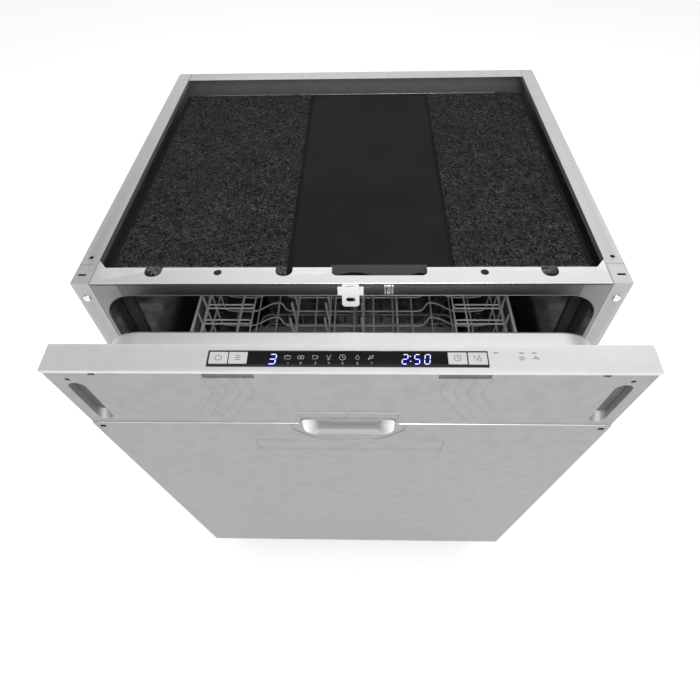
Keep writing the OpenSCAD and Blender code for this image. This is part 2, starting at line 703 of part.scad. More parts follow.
// Row of plate tines standing on a rack floor
module tines(x, y, z, n) {
    step = (y[1] - y[0] - wire_d) / (n - 1);
    translate([x, 0, 0]) rotate([90, 0, 90]) linear_extrude(wire_d) {
        rect(y, [z[0], z[0] + wire_d]);
        for (i = [0 : n - 1]) rect([y[0] + i * step, y[0] + i * step + wire_d], z);
    }
}
upper_x = tub_x - upper_side;
upper_y = [0, upper_l];
upper_arm_y = upper_l / 2;
upper_arm_z = upper_z - 26;
upper_spindle = 6;
shelf_z = upper_z + 86;
roller_z = (rail_z[0] + rail_z[1]) / 2;
roller_r = (rail_z[1] - rail_z[0]) / 2 - 3 - fit;
roller_y = [upper_l - 167, upper_l - 38];
upper_arm_r = upper_l / 2 - upper_arm_gap;
module upper_rack() {
    color([0.5, 0.5, 0.5]) place() {
        basket([-upper_x, upper_x], upper_y, [upper_z, upper_z + upper_h], 3);
        for (x = [-103, -45, 16, 75]) tines(x, [24, upper_l - 24], [upper_z + wire_d + fit, upper_z + 58], 11);
        both() for (y = roller_y) {
            rod_x([upper_x - wire_d, rail_out - 3 - fit], y, roller_z, roller_r);
            box([upper_x - wire_d, upper_x], [y - 18, y + 18], [roller_z - 12, roller_z + 12]);
        }
        rod_y(0, [upper_arm_y, upper_l], upper_z - 8, 6.5);
        rod_z(0, upper_arm_y, [upper_arm_z - 3, upper_z - 8], upper_spindle);
        rod_z(0, upper_arm_y, [upper_arm_z - 5, upper_arm_z - fit], upper_spindle + 4);
        for (y = [upper_arm_y, upper_l - 30]) rod_z(0, y, [upper_z - 8, upper_z - fit], 5);
    }
}
// Two-bladed spray arm about the origin, bored for its spindle
module spray_arm(r, bore, z) {
    tip = 13;
    difference() {
        union() {
            translate([0, 0, z[0]]) linear_extrude(z[1] - z[0]) {
                polygon([[tip - r, -tip], [-24, -20], [24, -20], [r - tip, -tip],
                    [r - tip, tip], [24, 20], [-24, 20], [tip - r, tip]]);
                for (s = [-1, 1]) translate([s * (r - tip), 0]) circle(tip);
            }
            rod_z(0, 0, z, bore + 16);
        }
        rod_z(0, 0, [z[0] - 1, z[1] + 1], bore + run_fit);
        for (s = [-1, 1], i = [1 : 4]) rod_z(s * (30 + i * (r - 50) / 5), s * 4, [z[1] - 2, z[1] + 1], 1.5);
    }
}
module upper_spray_arm() {
    color("gray") place() translate([0, upper_arm_y, 0])
        spray_arm(upper_arm_r, upper_spindle, [upper_arm_z, upper_arm_z + 9]);
}
lower_arm_r = tub_d - well_y - lower_arm_gap;
module lower_spray_arm() {
    color("gray") place() translate([0, well_y, 0])
        spray_arm(lower_arm_r, spindle_r, [lower_arm_z, lower_arm_z + 11]);
}
shelf_w = 76;
module cup_shelf(s) {
    px = upper_x - wire_d - fit - wire_d / 2;
    color([0.5, 0.5, 0.5]) place() on_side(s) {
        rod_y(px, [16, upper_l - 16], shelf_z, wire_d / 2);
        translate([0, 0, shelf_z - wire_d / 2]) linear_extrude(wire_d) intersection() {
            grid([px - shelf_w, 20], [px + wire_d, upper_l - 20], 11);
            rect([px - shelf_w, px], [0, upper_l]);
        }
    }
}
lower_x = tub_x - lower_side;
lower_y = [20, 20 + lower_l];
wheel_r = 14;
wheel_y = [lower_y[0] + 66, salt_y - 65];
wheel_z = tub_floor + wheel_r + fit;
module lower_rack() {
    color([0.5, 0.5, 0.5]) place() {
        basket([-lower_x, lower_x], lower_y, [lower_z, lower_z + lower_h], 3);
        for (x = [50 - lower_x, 90 - lower_x, 130 - lower_x, lower_x - 100, lower_x - 60, lower_x - 20])
            tines(x, [lower_y[0] + 120, lower_y[1] - 20], [lower_z + wire_d + fit, lower_z + 78], 9);
        both() for (y = wheel_y) difference() {
            box([lower_x - 6, lower_x], [y - 9, y + 9], [wheel_z - 9, lower_z - fit]);
            rod_x([lower_x - 7, lower_x + 1], y, wheel_z, 3);
        }
    }
}
module wheel(s, i) {
    color("whitesmoke") place() on_side(s) {
        rod_x([lower_x + fit, lower_x + 9], wheel_y[i], wheel_z, wheel_r);
        rod_x([lower_x - 6, lower_x + 1], wheel_y[i], wheel_z, 3 - run_fit);
    }
}
basket_x = [-72, 76];
basket_y = [lower_y[0] + 14, lower_y[0] + 100];
basket_z = [lower_z + wire_d + fit, lower_z + 118];
module cutlery_basket() {
    wall = 2.5;
    slots = 8;
    step = (basket_x[1] - basket_x[0] - 2 * wall) / slots;
    color("gray") place() difference() {
        box(basket_x, basket_y, basket_z);
        box([basket_x[0] + wall, basket_x[1] - wall], [basket_y[0] + wall, basket_y[1] - wall],
            [basket_z[0] + wall, basket_z[1] + 1]);
        for (i = [0 : slots - 1]) box([basket_x[0] + wall + i * step + 3, basket_x[0] + wall + (i + 1) * step - 3],
            [basket_y[0] - 1, basket_y[1] + 1], [basket_z[0] + 12, basket_z[1] - 12]);
    }
}

side_panel(-1);  // side_panel_left
side_panel(1);  // side_panel_right
front_top_rail();
rear_panel();
base_tray();
kick_plate();
tub();
tub_gasket();
felt_pads();
damping_sheet();
latch_strike();
frame_clip();
cabinet_screws();
feed_pipe();
sump();
circulation_pump();
drain_pump();
filter_plate();
filter_cylinder();
water_softener();
salt_cap();
inlet_valve();
drain_spigot();
power_inlet();
hinge_brackets();
balance_springs();
rail_channels();
foot(feet[0]);  // front_foot_left
foot(feet[1]);  // front_foot_right
foot(feet[2]);  // rear_foot
door_sheet();
section_plate();
grip_cup();
side_pockets();
control_fascia();
display_window();
display_board();
key(0);  // power_key
key(1);  // programme_key
key(2);  // delay_key
key(3);  // half_load_key
inner_liner();
door_insulation();
dispenser_body();
dispenser_lid();
rinse_aid_cap();
door_latch();
hinge_arms();
sliding_rails();
upper_rack();
upper_spray_arm();
cup_shelf(-1);  // cup_shelf_left
cup_shelf(1);  // cup_shelf_right
lower_rack();
wheel(-1, 0);  // wheel_front_left
wheel(1, 0);  // wheel_front_right
wheel(-1, 1);  // wheel_rear_left
wheel(1, 1);  // wheel_rear_right
cutlery_basket();
lower_spray_arm();
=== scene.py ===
"""Finish of a fully integrated dishwasher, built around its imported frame."""

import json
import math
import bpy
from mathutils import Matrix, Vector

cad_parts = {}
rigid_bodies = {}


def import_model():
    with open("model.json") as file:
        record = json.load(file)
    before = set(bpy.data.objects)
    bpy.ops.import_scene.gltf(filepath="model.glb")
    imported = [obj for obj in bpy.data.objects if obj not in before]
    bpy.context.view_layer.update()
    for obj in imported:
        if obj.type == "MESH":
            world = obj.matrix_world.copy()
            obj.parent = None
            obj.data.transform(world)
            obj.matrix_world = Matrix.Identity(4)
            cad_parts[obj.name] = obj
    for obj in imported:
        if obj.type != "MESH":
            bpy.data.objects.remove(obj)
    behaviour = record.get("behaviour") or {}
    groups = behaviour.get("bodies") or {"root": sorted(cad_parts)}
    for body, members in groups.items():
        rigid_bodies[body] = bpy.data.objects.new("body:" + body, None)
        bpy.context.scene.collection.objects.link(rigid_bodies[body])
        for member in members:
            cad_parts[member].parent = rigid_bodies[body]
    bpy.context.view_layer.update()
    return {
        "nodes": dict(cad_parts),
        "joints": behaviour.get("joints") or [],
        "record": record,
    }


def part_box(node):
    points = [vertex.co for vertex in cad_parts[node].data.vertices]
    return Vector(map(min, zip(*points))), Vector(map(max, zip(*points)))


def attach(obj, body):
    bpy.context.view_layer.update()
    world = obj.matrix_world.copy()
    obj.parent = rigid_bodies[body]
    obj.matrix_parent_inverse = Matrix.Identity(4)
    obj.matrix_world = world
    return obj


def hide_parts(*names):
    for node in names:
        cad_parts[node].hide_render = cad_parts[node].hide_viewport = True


bl_info = {
    "name": "Integrated Dishwasher Finish",
    "version": (1, 0, 0),
    "blender": (4, 5, 0),
    "location": "View3D > Sidebar > Dishwasher",
    "description": "Dresses the dishwasher's frame with steel skins, felt, display, racks and studio",
    "category": "Object",
}

import bmesh
import bpy
from bpy.props import FloatProperty, FloatVectorProperty, IntProperty, PointerProperty
from mathutils import Matrix, Vector, noise

for leftover in list(bpy.data.objects):
    bpy.data.objects.remove(leftover)
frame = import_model()

# Places taken from the frame. Pieces are drawn in millimetres in one of two spaces: the cabinet's,
# with Y from its front flanges, and the door's, with the hinge pins on X and the door upright.
MM = 0.001
SCALED = Matrix.Scale(MM, 4)
DOOR_JOINT = next(j for j in frame["joints"] if j["name"] == "door_hinge")
HINGE = Vector(DOOR_JOINT["pos_m"])
AJAR = -math.radians(DOOR_JOINT["range_deg"][0])
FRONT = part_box("side_panel_left")[0].y
CABINET = Matrix.Translation((0, FRONT, 0)) @ SCALED
DOOR = Matrix.Translation((0, HINGE.y, HINGE.z)) @ Matrix.Rotation(AJAR, 4, "X") @ SCALED

SIDES = (-1, 1)
SHARP = 32
INK = 0.08
SLOTS = {p["node"]: p["material_slot"] for p in frame["record"]["subparts"]}
BODY_OF = {node: body for body, nodes in frame["record"]["behaviour"]["bodies"].items() for node in nodes}


def cad_span(node, space=CABINET):
    """Lowest and highest corner of a CAD node in millimetres of a space."""
    inverse = space.inverted()
    points = [inverse @ v.co for v in frame["nodes"][node].data.vertices]
    return tuple(Vector([pick(p[i] for p in points) for i in range(3)]) for pick in (min, max))


# Meshes and pieces


def smoothed(bm, sharp=SHARP):
    """Smooth a bmesh as far as its edges are less than an angle of sharp degrees."""
    for face in bm.faces:
        face.smooth = True
    for edge in bm.edges:
        edge.smooth = edge.is_manifold and edge.calc_face_angle(0) < math.radians(sharp)


def as_mesh(name, bm):
    """Turn a bmesh into a mesh and free it."""
    mesh = bpy.data.meshes.new(name)
    bm.to_mesh(mesh)
    bm.free()
    return mesh


def mesh_from(name, bm, space, sharp=SHARP, recalculate=True):
    """Turn a bmesh in a space's millimetres into a smooth-shaded mesh in row metres."""
    if recalculate:
        bmesh.ops.recalc_face_normals(bm, faces=bm.faces)
    bm.transform(space)
    smoothed(bm, sharp)
    return as_mesh(name, bm)


def linked_object(name, mesh):
    """An object in the scene that holds a mesh."""
    made = bpy.data.objects.new(name, mesh)
    bpy.context.scene.collection.objects.link(made)
    return made


def evaluated(holder):
    """The mesh of an object with its modifiers applied; the object is deleted."""
    graph = bpy.context.evaluated_depsgraph_get()
    graph.update()
    made = bpy.data.meshes.new_from_object(holder.evaluated_get(graph))
    holder.modifiers.clear()
    bpy.data.objects.remove(holder)
    return made


def finished(name, mesh, look, body, *replaced):
    """Make a mesh in row metres a piece with a finish that rides on a body."""
    piece = linked_object(name, mesh)
    mesh.materials.clear()
    mesh.materials.append(finish(look))
    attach(piece, body)
    if replaced:
        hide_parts(*replaced)
    return piece


def shaped(
        name, bm, look, space=CABINET, body=None, replaced=(),
        sharp=SHARP, recalculate=True, edge=0, angle=40):
    """Make a bmesh a piece. It rides on the space's own body unless another is named."""
    mesh = mesh_from(name + "_mesh", bm, space, sharp, recalculate)
    piece = finished(name, mesh, look, body or main_body(space), *replaced)
    if edge:
        round_edges(piece, edge, angle)
    return piece


def main_body(space):
    return "door" if space is DOOR else "cabinet"


def round_edges(piece, width, angle):
    """Round the edges of a piece by a width in millimetres and keep its flat faces looking flat."""
    edge = piece.modifiers.new("edge_round", "BEVEL")
    edge.width = width * MM
    edge.segments = 2
    edge.limit_method = "ANGLE"
    edge.angle_limit = math.radians(angle)
    flat = piece.modifiers.new("flat_faces", "WEIGHTED_NORMAL")
    flat.weight = 100
    flat.keep_sharp = True


def softened(node, width, taken=None):
    """A copy of a CAD node with merged faces and rounded edges, less a shape in the cabinet's space."""
    bm = bmesh.new()
    bm.from_mesh(frame["nodes"][node].data)
    bmesh.ops.remove_doubles(bm, verts=bm.verts, dist=2e-6)
    bmesh.ops.dissolve_limit(bm, angle_limit=math.radians(0.4), verts=bm.verts, edges=bm.edges)
    for face in bm.faces:
        face.smooth = True
    mesh = as_mesh(node + "_mesh", bm)
    if taken is not None:
        mesh = less(mesh, taken, CABINET)
    round_edges(finished(node + "_skin", mesh, SLOTS[node], BODY_OF[node], node), width, 35)


def less(mesh, other, space, operation="DIFFERENCE"):
    """A mesh with a closed bmesh in a space taken away, or joined on for a union."""
    blank = linked_object("blank", mesh)
    cutter = linked_object("cutter", mesh_from("cutter_mesh", other, space))
    cut = blank.modifiers.new("cut", "BOOLEAN")
    cut.operation = operation
    cut.solver = "EXACT"
    cut.object = cutter
    made = evaluated(blank)
    bpy.data.objects.remove(cutter)
    bm = bmesh.new()
    bm.from_mesh(made)
    smoothed(bm)
    bm.to_mesh(made)
    bm.free()
    return made


def add_box(bm, x, y, z):
    """A closed box between two values on each axis."""
    verts = [bm.verts.new((a, b, c)) for a in x for b in y for c in z]
    for quad in ((0, 1, 3, 2), (4, 6, 7, 5), (0, 4, 5, 1), (2, 3, 7, 6), (0, 2, 6, 4), (1, 5, 7, 3)):
        bm.faces.new([verts[i] for i in quad])
    return verts


def on_side(side, near, far):
    """A span on one side of the middle, low value first."""
    return sorted((side * near, side * far))


def rounded_loop(x, z, radius, count=8, low_radius=None):
    """Points of a rounded rectangle, counter-clockwise, always the same number."""
    points = []
    corners = ((x[1], z[1], 0), (x[0], z[1], 90), (x[0], z[0], 180), (x[1], z[0], 270))
    for cx, cz, start in corners:
        own = max(low_radius if low_radius is not None and start >= 180 else radius, 0.01)
        ox = cx - math.copysign(own, cx - (x[0] + x[1]) / 2)
        oz = cz - math.copysign(own, cz - (z[0] + z[1]) / 2)
        for i in range(count + 1):
            a = math.radians(start + 90 * i / count)
            points.append((ox + own * math.cos(a), oz + own * math.sin(a)))
    return points


def loft(bm, rings, first_cap=True):
    """Join rings of equal count with quads and close the ends. Each ring is a list of 3D points."""
    loops = [[bm.verts.new(p) for p in ring] for ring in rings]
    count = len(loops[0])
    for a, b in zip(loops, loops[1:]):
        for i in range(count):
            j = (i + 1) % count
            bm.faces.new((a[i], a[j], b[j], b[i]))
    if first_cap:
        bm.faces.new(list(reversed(loops[0])))
    bm.faces.new(loops[-1])


def in_yz(points, x):
    return [(x, y, z) for y, z in points]


def in_xz(points, y):
    return [(x, y, z) for x, z in points]


def in_xy(points, z):
    return [(x, y, z) for x, y in points]


def mirrored(points):
    return [(-p[0], p[1], p[2]) for p in points]


def add_turned(bm, profile, centre, axis, sides=40):
    """A closed turned solid: profile is (radius, distance along the axis) from end to end."""
    turn = Vector((0, 0, 1)).rotation_difference(Vector(axis)).to_matrix().to_4x4()
    place = Matrix.Translation(centre) @ turn
    rings = []
    for radius, along in profile:
        radius = max(radius, 0.01)
        angles = [2 * math.pi * i / sides for i in range(sides)]
        rings.append([place @ Vector((radius * math.cos(a), radius * math.sin(a), along)) for a in angles])
    loft(bm, rings)


def ribbon(bm, points, width, base, thick=INK):
    """A thin flat stroke in X and Y through points, base high and thick tall."""
    left, right = [], []
    for i, p in enumerate(points):
        before = Vector(points[max(i - 1, 0)])
        after = Vector(points[min(i + 1, len(points) - 1)])
        run = (after - before).normalized()
        side = Vector((-run.y, run.x)) * width / 2
        left.append(Vector(p) + side)
        right.append(Vector(p) - side)
    low = [bm.verts.new((p.x, p.y, base)) for p in left + right[::-1]]
    high = [bm.verts.new((p.x, p.y, base + thick)) for p in left + right[::-1]]
    count = len(low)
    for i in range(len(points) - 1):
        a, b, c, d = i, i + 1, count - 2 - i, count - 1 - i
        bm.faces.new((high[a], high[b], high[c], high[d]))
        bm.faces.new((low[d], low[c], low[b], low[a]))
    for i in range(count):
        j = (i + 1) % count
        bm.faces.new((low[i], low[j], high[j], high[i]))


def bent(points, radius, count=4):
    """A path through points with its corners rounded."""
    path = [Vector(points[0])]
    for a, b, c in zip(points, points[1:], points[2:]):
        a, b, c = Vector(a), Vector(b), Vector(c)
        before, after = (a - b), (c - b)
        reach = min(radius, before.length * 0.45, after.length * 0.45)
        start, end = b + before.normalized() * reach, b + after.normalized() * reach
        for i in range(count + 1):
            t = i / count
            path.append(start * (1 - t) ** 2 + b * 2 * t * (1 - t) + end * t ** 2)
    path.append(Vector(points[-1]))
    return path


def heightfield(bm, xs, ys, top, thick):
    """A closed sheet over a lattice, its upper side at top(x, y) and its lower side thick below."""
    upper = [[bm.verts.new((x, y, top(x, y))) for y in ys] for x in xs]
    lower = [[bm.verts.new((v.co.x, v.co.y, v.co.z - thick)) for v in row] for row in upper]
    wide, deep = len(xs), len(ys)
    for i in range(wide - 1):
        for j in range(deep - 1):
            bm.faces.new((upper[i][j], upper[i + 1][j], upper[i + 1][j + 1], upper[i][j + 1]))
            bm.faces.new((lower[i][j], lower[i][j + 1], lower[i + 1][j + 1], lower[i + 1][j]))
    rim = [(i, 0) for i in range(wide)] + [(wide - 1, j) for j in range(1, deep)]
    rim += [(i, deep - 1) for i in range(wide - 2, -1, -1)] + [(0, j) for j in range(deep - 2, 0, -1)]
    for (i, j), (k, m) in zip(rim, rim[1:] + rim[:1]):
        bm.faces.new((upper[i][j], lower[i][j], lower[k][m], upper[k][m]))


def steps(start, end, size):
    """Even stations from start to end, about size apart."""
    count = max(1, round((end - start) / size))
    return [start + (end - start) * i / count for i in range(count + 1)]


# Node trees


def laid(tree, kind, sockets=None, **settings):
    """A new node with its settings, then the values of its sockets."""
    node = tree.nodes.new(kind)
    for label, value in settings.items():
        setattr(node, label, value)
    for label, value in (sockets or {}).items():
        node.inputs[label].default_value = value
    return node


def linked(tree, *links):
    """Link nodes, each link given as (node, output, node, input)."""
    for source, given, target, taken in links:
        tree.links.new(source.outputs[given], target.inputs[taken])


def new_tree(name, **sockets):
    """A geometry node tree with named inputs beside its geometry and material."""
    tree = bpy.data.node_groups.new(name, "GeometryNodeTree")
    sockets = {"Geometry": "NodeSocketGeometry", **sockets, "Material": "NodeSocketMaterial"}
    for label, kind in sockets.items():
        tree.interface.new_socket(label, in_out="INPUT", socket_type=kind)
    tree.interface.new_socket("Geometry", in_out="OUTPUT", socket_type="NodeSocketGeometry")
    return tree, laid(tree, "NodeGroupInput")


def finish_tree(tree, given, last, output):
    """End a tree in Realize Instances and Set Material."""
    real = laid(tree, "GeometryNodeRealizeInstances")
    paint = laid(tree, "GeometryNodeSetMaterial")
    shown = laid(tree, "NodeGroupOutput")
    linked(
        tree,
        (last, output, real, "Geometry"),
        (real, "Geometry", paint, "Geometry"),
        (given, "Material", paint, "Material"),
        (paint, "Geometry", shown, "Geometry"),
    )
    return tree


def sweep_tree():
    """Round bar of a given radius along every path of the input's edges."""
    tree, given = new_tree("round_bar", Radius="NodeSocketFloat", Sides="NodeSocketInt")
    path = laid(tree, "GeometryNodeMeshToCurve")
    section = laid(tree, "GeometryNodeCurvePrimitiveCircle")
    bar = laid(tree, "GeometryNodeCurveToMesh", {"Fill Caps": True})
    smooth = laid(tree, "GeometryNodeSetShadeSmooth")
    linked(
        tree,
        (given, "Geometry", path, "Mesh"),
        (given, "Radius", section, "Radius"),
        (given, "Sides", section, "Resolution"),
        (path, "Curve", bar, "Curve"),
        (section, "Curve", bar, "Profile Curve"),
        (bar, "Mesh", smooth, "Geometry"),
    )
    return finish_tree(tree, given, smooth, "Geometry")


def repeat_tree():
    """Copies of one object at every vertex of the input."""
    tree, given = new_tree("repeated_unit", Unit="NodeSocketObject")
    unit = laid(tree, "GeometryNodeObjectInfo")
    spread = laid(tree, "GeometryNodeInstanceOnPoints")
    linked(
        tree,
        (given, "Unit", unit, "Object"),
        (given, "Geometry", spread, "Points"),
        (unit, "Geometry", spread, "Instance"),
    )
    return finish_tree(tree, given, spread, "Instances")


def fibre_tree():
    """Short bent fibres strewn over the input's upward faces, with the input kept."""
    tree, given = new_tree(
        "felt_fibres", Fibre="NodeSocketObject", Density="NodeSocketFloat", Seed="NodeSocketInt")
    fibre = laid(tree, "GeometryNodeObjectInfo")
    scatter = laid(tree, "GeometryNodeDistributePointsOnFaces")
    normal = laid(tree, "GeometryNodeInputNormal")
    split = laid(tree, "ShaderNodeSeparateXYZ")
    above = laid(tree, "FunctionNodeCompare", {1: 0.4})
    turns = {"Min": (-0.5, -0.5, 0.0), "Max": (0.5, 0.5, 6.283)}
    turn = laid(tree, "FunctionNodeRandomValue", turns, data_type="FLOAT_VECTOR")
    size = laid(tree, "FunctionNodeRandomValue", {2: 0.6, 3: 1.5})
    spread = laid(tree, "GeometryNodeInstanceOnPoints")
    join = laid(tree, "GeometryNodeJoinGeometry")
    linked(
        tree,
        (given, "Fibre", fibre, "Object"),
        (given, "Geometry", scatter, "Mesh"),
        (normal, "Normal", split, "Vector"),
        (split, "Z", above, 0),
        (above, "Result", scatter, "Selection"),
        (given, "Density", scatter, "Density"),
        (given, "Seed", scatter, "Seed"),
        (given, "Seed", turn, "Seed"),
        (scatter, "Points", spread, "Points"),
        (fibre, "Geometry", spread, "Instance"),
        (turn, "Value", spread, "Rotation"),
        (size, 1, spread, "Scale"),
        (spread, "Instances", join, "Geometry"),
        (given, "Geometry", join, "Geometry"),
    )
    return finish_tree(tree, given, join, "Geometry")


TREES = {}


def made_once(make):
    """The node tree or shader group that a function makes, made on first use."""
    if make.__name__ not in TREES:
        TREES[make.__name__] = make()
    return TREES[make.__name__]


def through_tree(make, mesh, **values):
    """Run a mesh through a node tree and return the result as a plain mesh."""
    tree = made_once(make)
    source = linked_object("source", mesh)
    modifier = source.modifiers.new("nodes", "NODES")
    modifier.node_group = tree
    for item in tree.interface.items_tree:
        if item.in_out == "INPUT" and item.name in values:
            modifier[item.identifier] = values[item.name]
    return evaluated(source)


def round_bars(name, paths, diameter, look, space=CABINET, body=None, sides=10, replaced=()):
    """Bars along paths in a space's millimetres. A path may be a (points, closed) pair."""
    bm = bmesh.new()
    for path in paths:
        points, closed = path if isinstance(path, tuple) else (path, False)
        verts = [bm.verts.new(space @ Vector(p)) for p in points]
        for a, b in zip(verts, verts[1:]):
            bm.edges.new((a, b))
        if closed:
            bm.edges.new((verts[-1], verts[0]))
    mesh = as_mesh(name + "_paths", bm)
    bars = through_tree(sweep_tree, mesh, Radius=diameter / 2 * MM, Sides=sides, Material=finish(look))
    finished(name, bars, look, body or main_body(space), *replaced)


def repeated(name, unit_bm, places, look, *replaced):
    """Copies of a small mesh, drawn about the origin in millimetres, at places of the cabinet's space."""
    unit = linked_object(name + "_unit", mesh_from(name + "_unit", unit_bm, SCALED))
    mesh = bpy.data.meshes.new(name + "_places")
    mesh.from_pydata([CABINET @ Vector(p) for p in places], [], [])
    made = through_tree(repeat_tree, mesh, Unit=unit, Material=finish(look))
    bpy.data.objects.remove(unit)
    finished(name, made, look, "cabinet", *replaced)


# Shader node groups


def new_group(name, outputs, **inputs):
    """A shader group with number or vector inputs, given with their values, and number outputs."""
    group = bpy.data.node_groups.new(name, "ShaderNodeTree")
    for label, value in inputs.items():
        kind = "NodeSocketVector" if isinstance(value, tuple) else "NodeSocketFloat"
        group.interface.new_socket(label, in_out="INPUT", socket_type=kind).default_value = value
    for label in outputs:
        group.interface.new_socket(label, in_out="OUTPUT", socket_type="NodeSocketFloat")
    return group, laid(group, "NodeGroupInput"), laid(group, "NodeGroupOutput")


def brushed_grain_group():
    """Fine lines drawn out along one axis: a tone for colour and roughness, and a height."""
    outputs = ("Tone", "Height")
    group, given, shown = new_group("brushed_grain", outputs, Stretch=(40, 2000, 2000), Contrast=1.0)
    place = laid(group, "ShaderNodeTexCoord")
    stretch = laid(group, "ShaderNodeVectorMath", operation="MULTIPLY")
    lines = laid(group, "ShaderNodeTexNoise", {"Scale": 1.0, "Detail": 4.0, "Roughness": 0.65})
    centred = laid(group, "ShaderNodeMath", {1: 0.5}, operation="SUBTRACT")
    spread = laid(group, "ShaderNodeMath", {2: 0.5}, operation="MULTIPLY_ADD", use_clamp=True)
    linked(
        group,
        (place, "Object", stretch, 0),
        (given, "Stretch", stretch, 1),
        (stretch, 0, lines, "Vector"),
        (lines, "Fac", centred, 0),
        (centred, 0, spread, 0),
        (given, "Contrast", spread, 1),
        (spread, 0, shown, "Tone"),
        (lines, "Fac", shown, "Height"),
    )
    return group


def cloudy_tone_group():
    """Slow uneven tone, as handling and cleaning leave on sheet metal and plastic."""
    group, given, shown = new_group("cloudy_tone", ("Tone", "Fine"), Scale=8.0, Warp=0.4)
    place = laid(group, "ShaderNodeTexCoord")
    clouds = laid(group, "ShaderNodeTexNoise", {"Detail": 3.0})
    specks = laid(group, "ShaderNodeTexNoise", {"Scale": 900.0, "Detail": 2.0})
    ramp = laid(group, "ShaderNodeMapRange", {"From Min": 0.3, "From Max": 0.7})
    linked(
        group,
        (place, "Object", clouds, "Vector"),
        (place, "Object", specks, "Vector"),
        (given, "Scale", clouds, "Scale"),
        (given, "Warp", clouds, "Distortion"),
        (clouds, "Fac", ramp, "Value"),
        (ramp, "Result", shown, "Tone"),
        (specks, "Fac", shown, "Fine"),
    )
    return group


def edge_wear_group():
    """Mask of the rubbed edges of a piece, broken up by noise."""
    group, given, shown = new_group("edge_wear", ("Mask",), Reach=0.53, Soft=0.05)
    shape = laid(group, "ShaderNodeNewGeometry")
    place = laid(group, "ShaderNodeTexCoord")
    patch = laid(group, "ShaderNodeTexNoise", {"Scale": 60.0})
    far = laid(group, "ShaderNodeMath", operation="ADD")
    ramp = laid(group, "ShaderNodeMapRange")
    mask = laid(group, "ShaderNodeMath", operation="MULTIPLY")
    linked(
        group,
        (given, "Reach", far, 0),
        (given, "Soft", far, 1),
        (shape, "Pointiness", ramp, "Value"),
        (given, "Reach", ramp, "From Min"),
        (far, 0, ramp, "From Max"),
        (place, "Object", patch, "Vector"),
        (ramp, "Result", mask, 0),
        (patch, "Fac", mask, 1),
        (mask, 0, shown, "Mask"),
    )
    return group


# Materials


def new_material(name, **values):
    """An empty material's node tree with one Principled shader, whose named sockets are set."""
    material = bpy.data.materials.new(name)
    material.use_nodes = True
    tree = material.node_tree
    tree.nodes.clear()
    sockets = {label.replace("_", " "): value for label, value in values.items()}
    shader = laid(tree, "ShaderNodeBsdfPrincipled", sockets)
    linked(tree, (shader, "BSDF", laid(tree, "ShaderNodeOutputMaterial"), "Surface"))
    return material, tree, shader


def group_node(tree, make, **values):
    """A shader group placed in a material with its own values."""
    return laid(tree, "ShaderNodeGroup", values, node_tree=made_once(make))


def shade(colour, factor):
    return tuple(min(1, c * factor) for c in colour[:3]) + (1,)


def mixed(tree, factor, low, high):
    """Blend two colours, or two colour sockets, by a factor socket."""
    node = laid(tree, "ShaderNodeMix", data_type="RGBA")
    tree.links.new(factor, node.inputs["Factor"])
    for socket, value in ((node.inputs[6], low), (node.inputs[7], high)):
        if isinstance(value, tuple):
            socket.default_value = value
        else:
            tree.links.new(value, socket)
    return node.outputs[2]


def ranged(tree, source, low, high, start=0.0, end=1.0):
    """A socket's values from start to end mapped to low to high."""
    sockets = {"From Min": start, "From Max": end, "To Min": low, "To Max": high}
    node = laid(tree, "ShaderNodeMapRange", sockets)
    tree.links.new(source, node.inputs["Value"])
    return node.outputs["Result"]


def bumped(tree, shader, height, strength, distance):
    node = laid(tree, "ShaderNodeBump", {"Strength": strength, "Distance": distance})
    tree.links.new(height, node.inputs["Height"])
    linked(tree, (node, "Normal", shader, "Normal"))


def sheet_metal(name, colour, rough, stretch, contrast=1.0, depth=0.25, cloud=0.06, metallic=1.0):
    """Sheet metal with rolled or brushed grain, slow clouding and rubbed edges."""
    material, tree, shader = new_material(name, Metallic=metallic)
    grain = group_node(tree, brushed_grain_group, Stretch=stretch, Contrast=contrast)
    clouds = group_node(tree, cloudy_tone_group, Scale=7.0)
    wear = group_node(tree, edge_wear_group)
    lined = mixed(tree, grain.outputs["Tone"], shade(colour, 1 - cloud), shade(colour, 1 + cloud))
    clouded = mixed(tree, ranged(tree, clouds.outputs["Tone"], 0, 0.5), lined, shade(colour, 1 - cloud))
    worn = mixed(tree, wear.outputs["Mask"], clouded, shade(colour, 1.25))
    tree.links.new(worn, shader.inputs["Base Color"])
    tree.links.new(ranged(tree, grain.outputs["Tone"], rough * 0.8, rough * 1.25), shader.inputs["Roughness"])
    bumped(tree, shader, grain.outputs["Height"], depth, 0.0002)
    return material


def painted_highlight_metal(name, colour, bright, start, end):
    """Sheet metal with a painted highlight that gets brighter towards both ends along X."""
    material = sheet_metal(name, colour, 0.5, ALONG_X, 0.5, 0.1)
    tree = material.node_tree
    shader = next(node for node in tree.nodes if node.type == "BSDF_PRINCIPLED")
    place = laid(tree, "ShaderNodeTexCoord")
    split = laid(tree, "ShaderNodeSeparateXYZ")
    far = laid(tree, "ShaderNodeMath", operation="ABSOLUTE")
    linked(tree, (place, "Object", split, 0), (split, "X", far, 0))
    plain = shader.inputs["Base Color"].links[0].from_socket
    highlighted = mixed(tree, ranged(tree, far.outputs[0], 0, 1, start, end), plain, shade(bright, 1))
    tree.links.new(highlighted, shader.inputs["Base Color"])
    return material


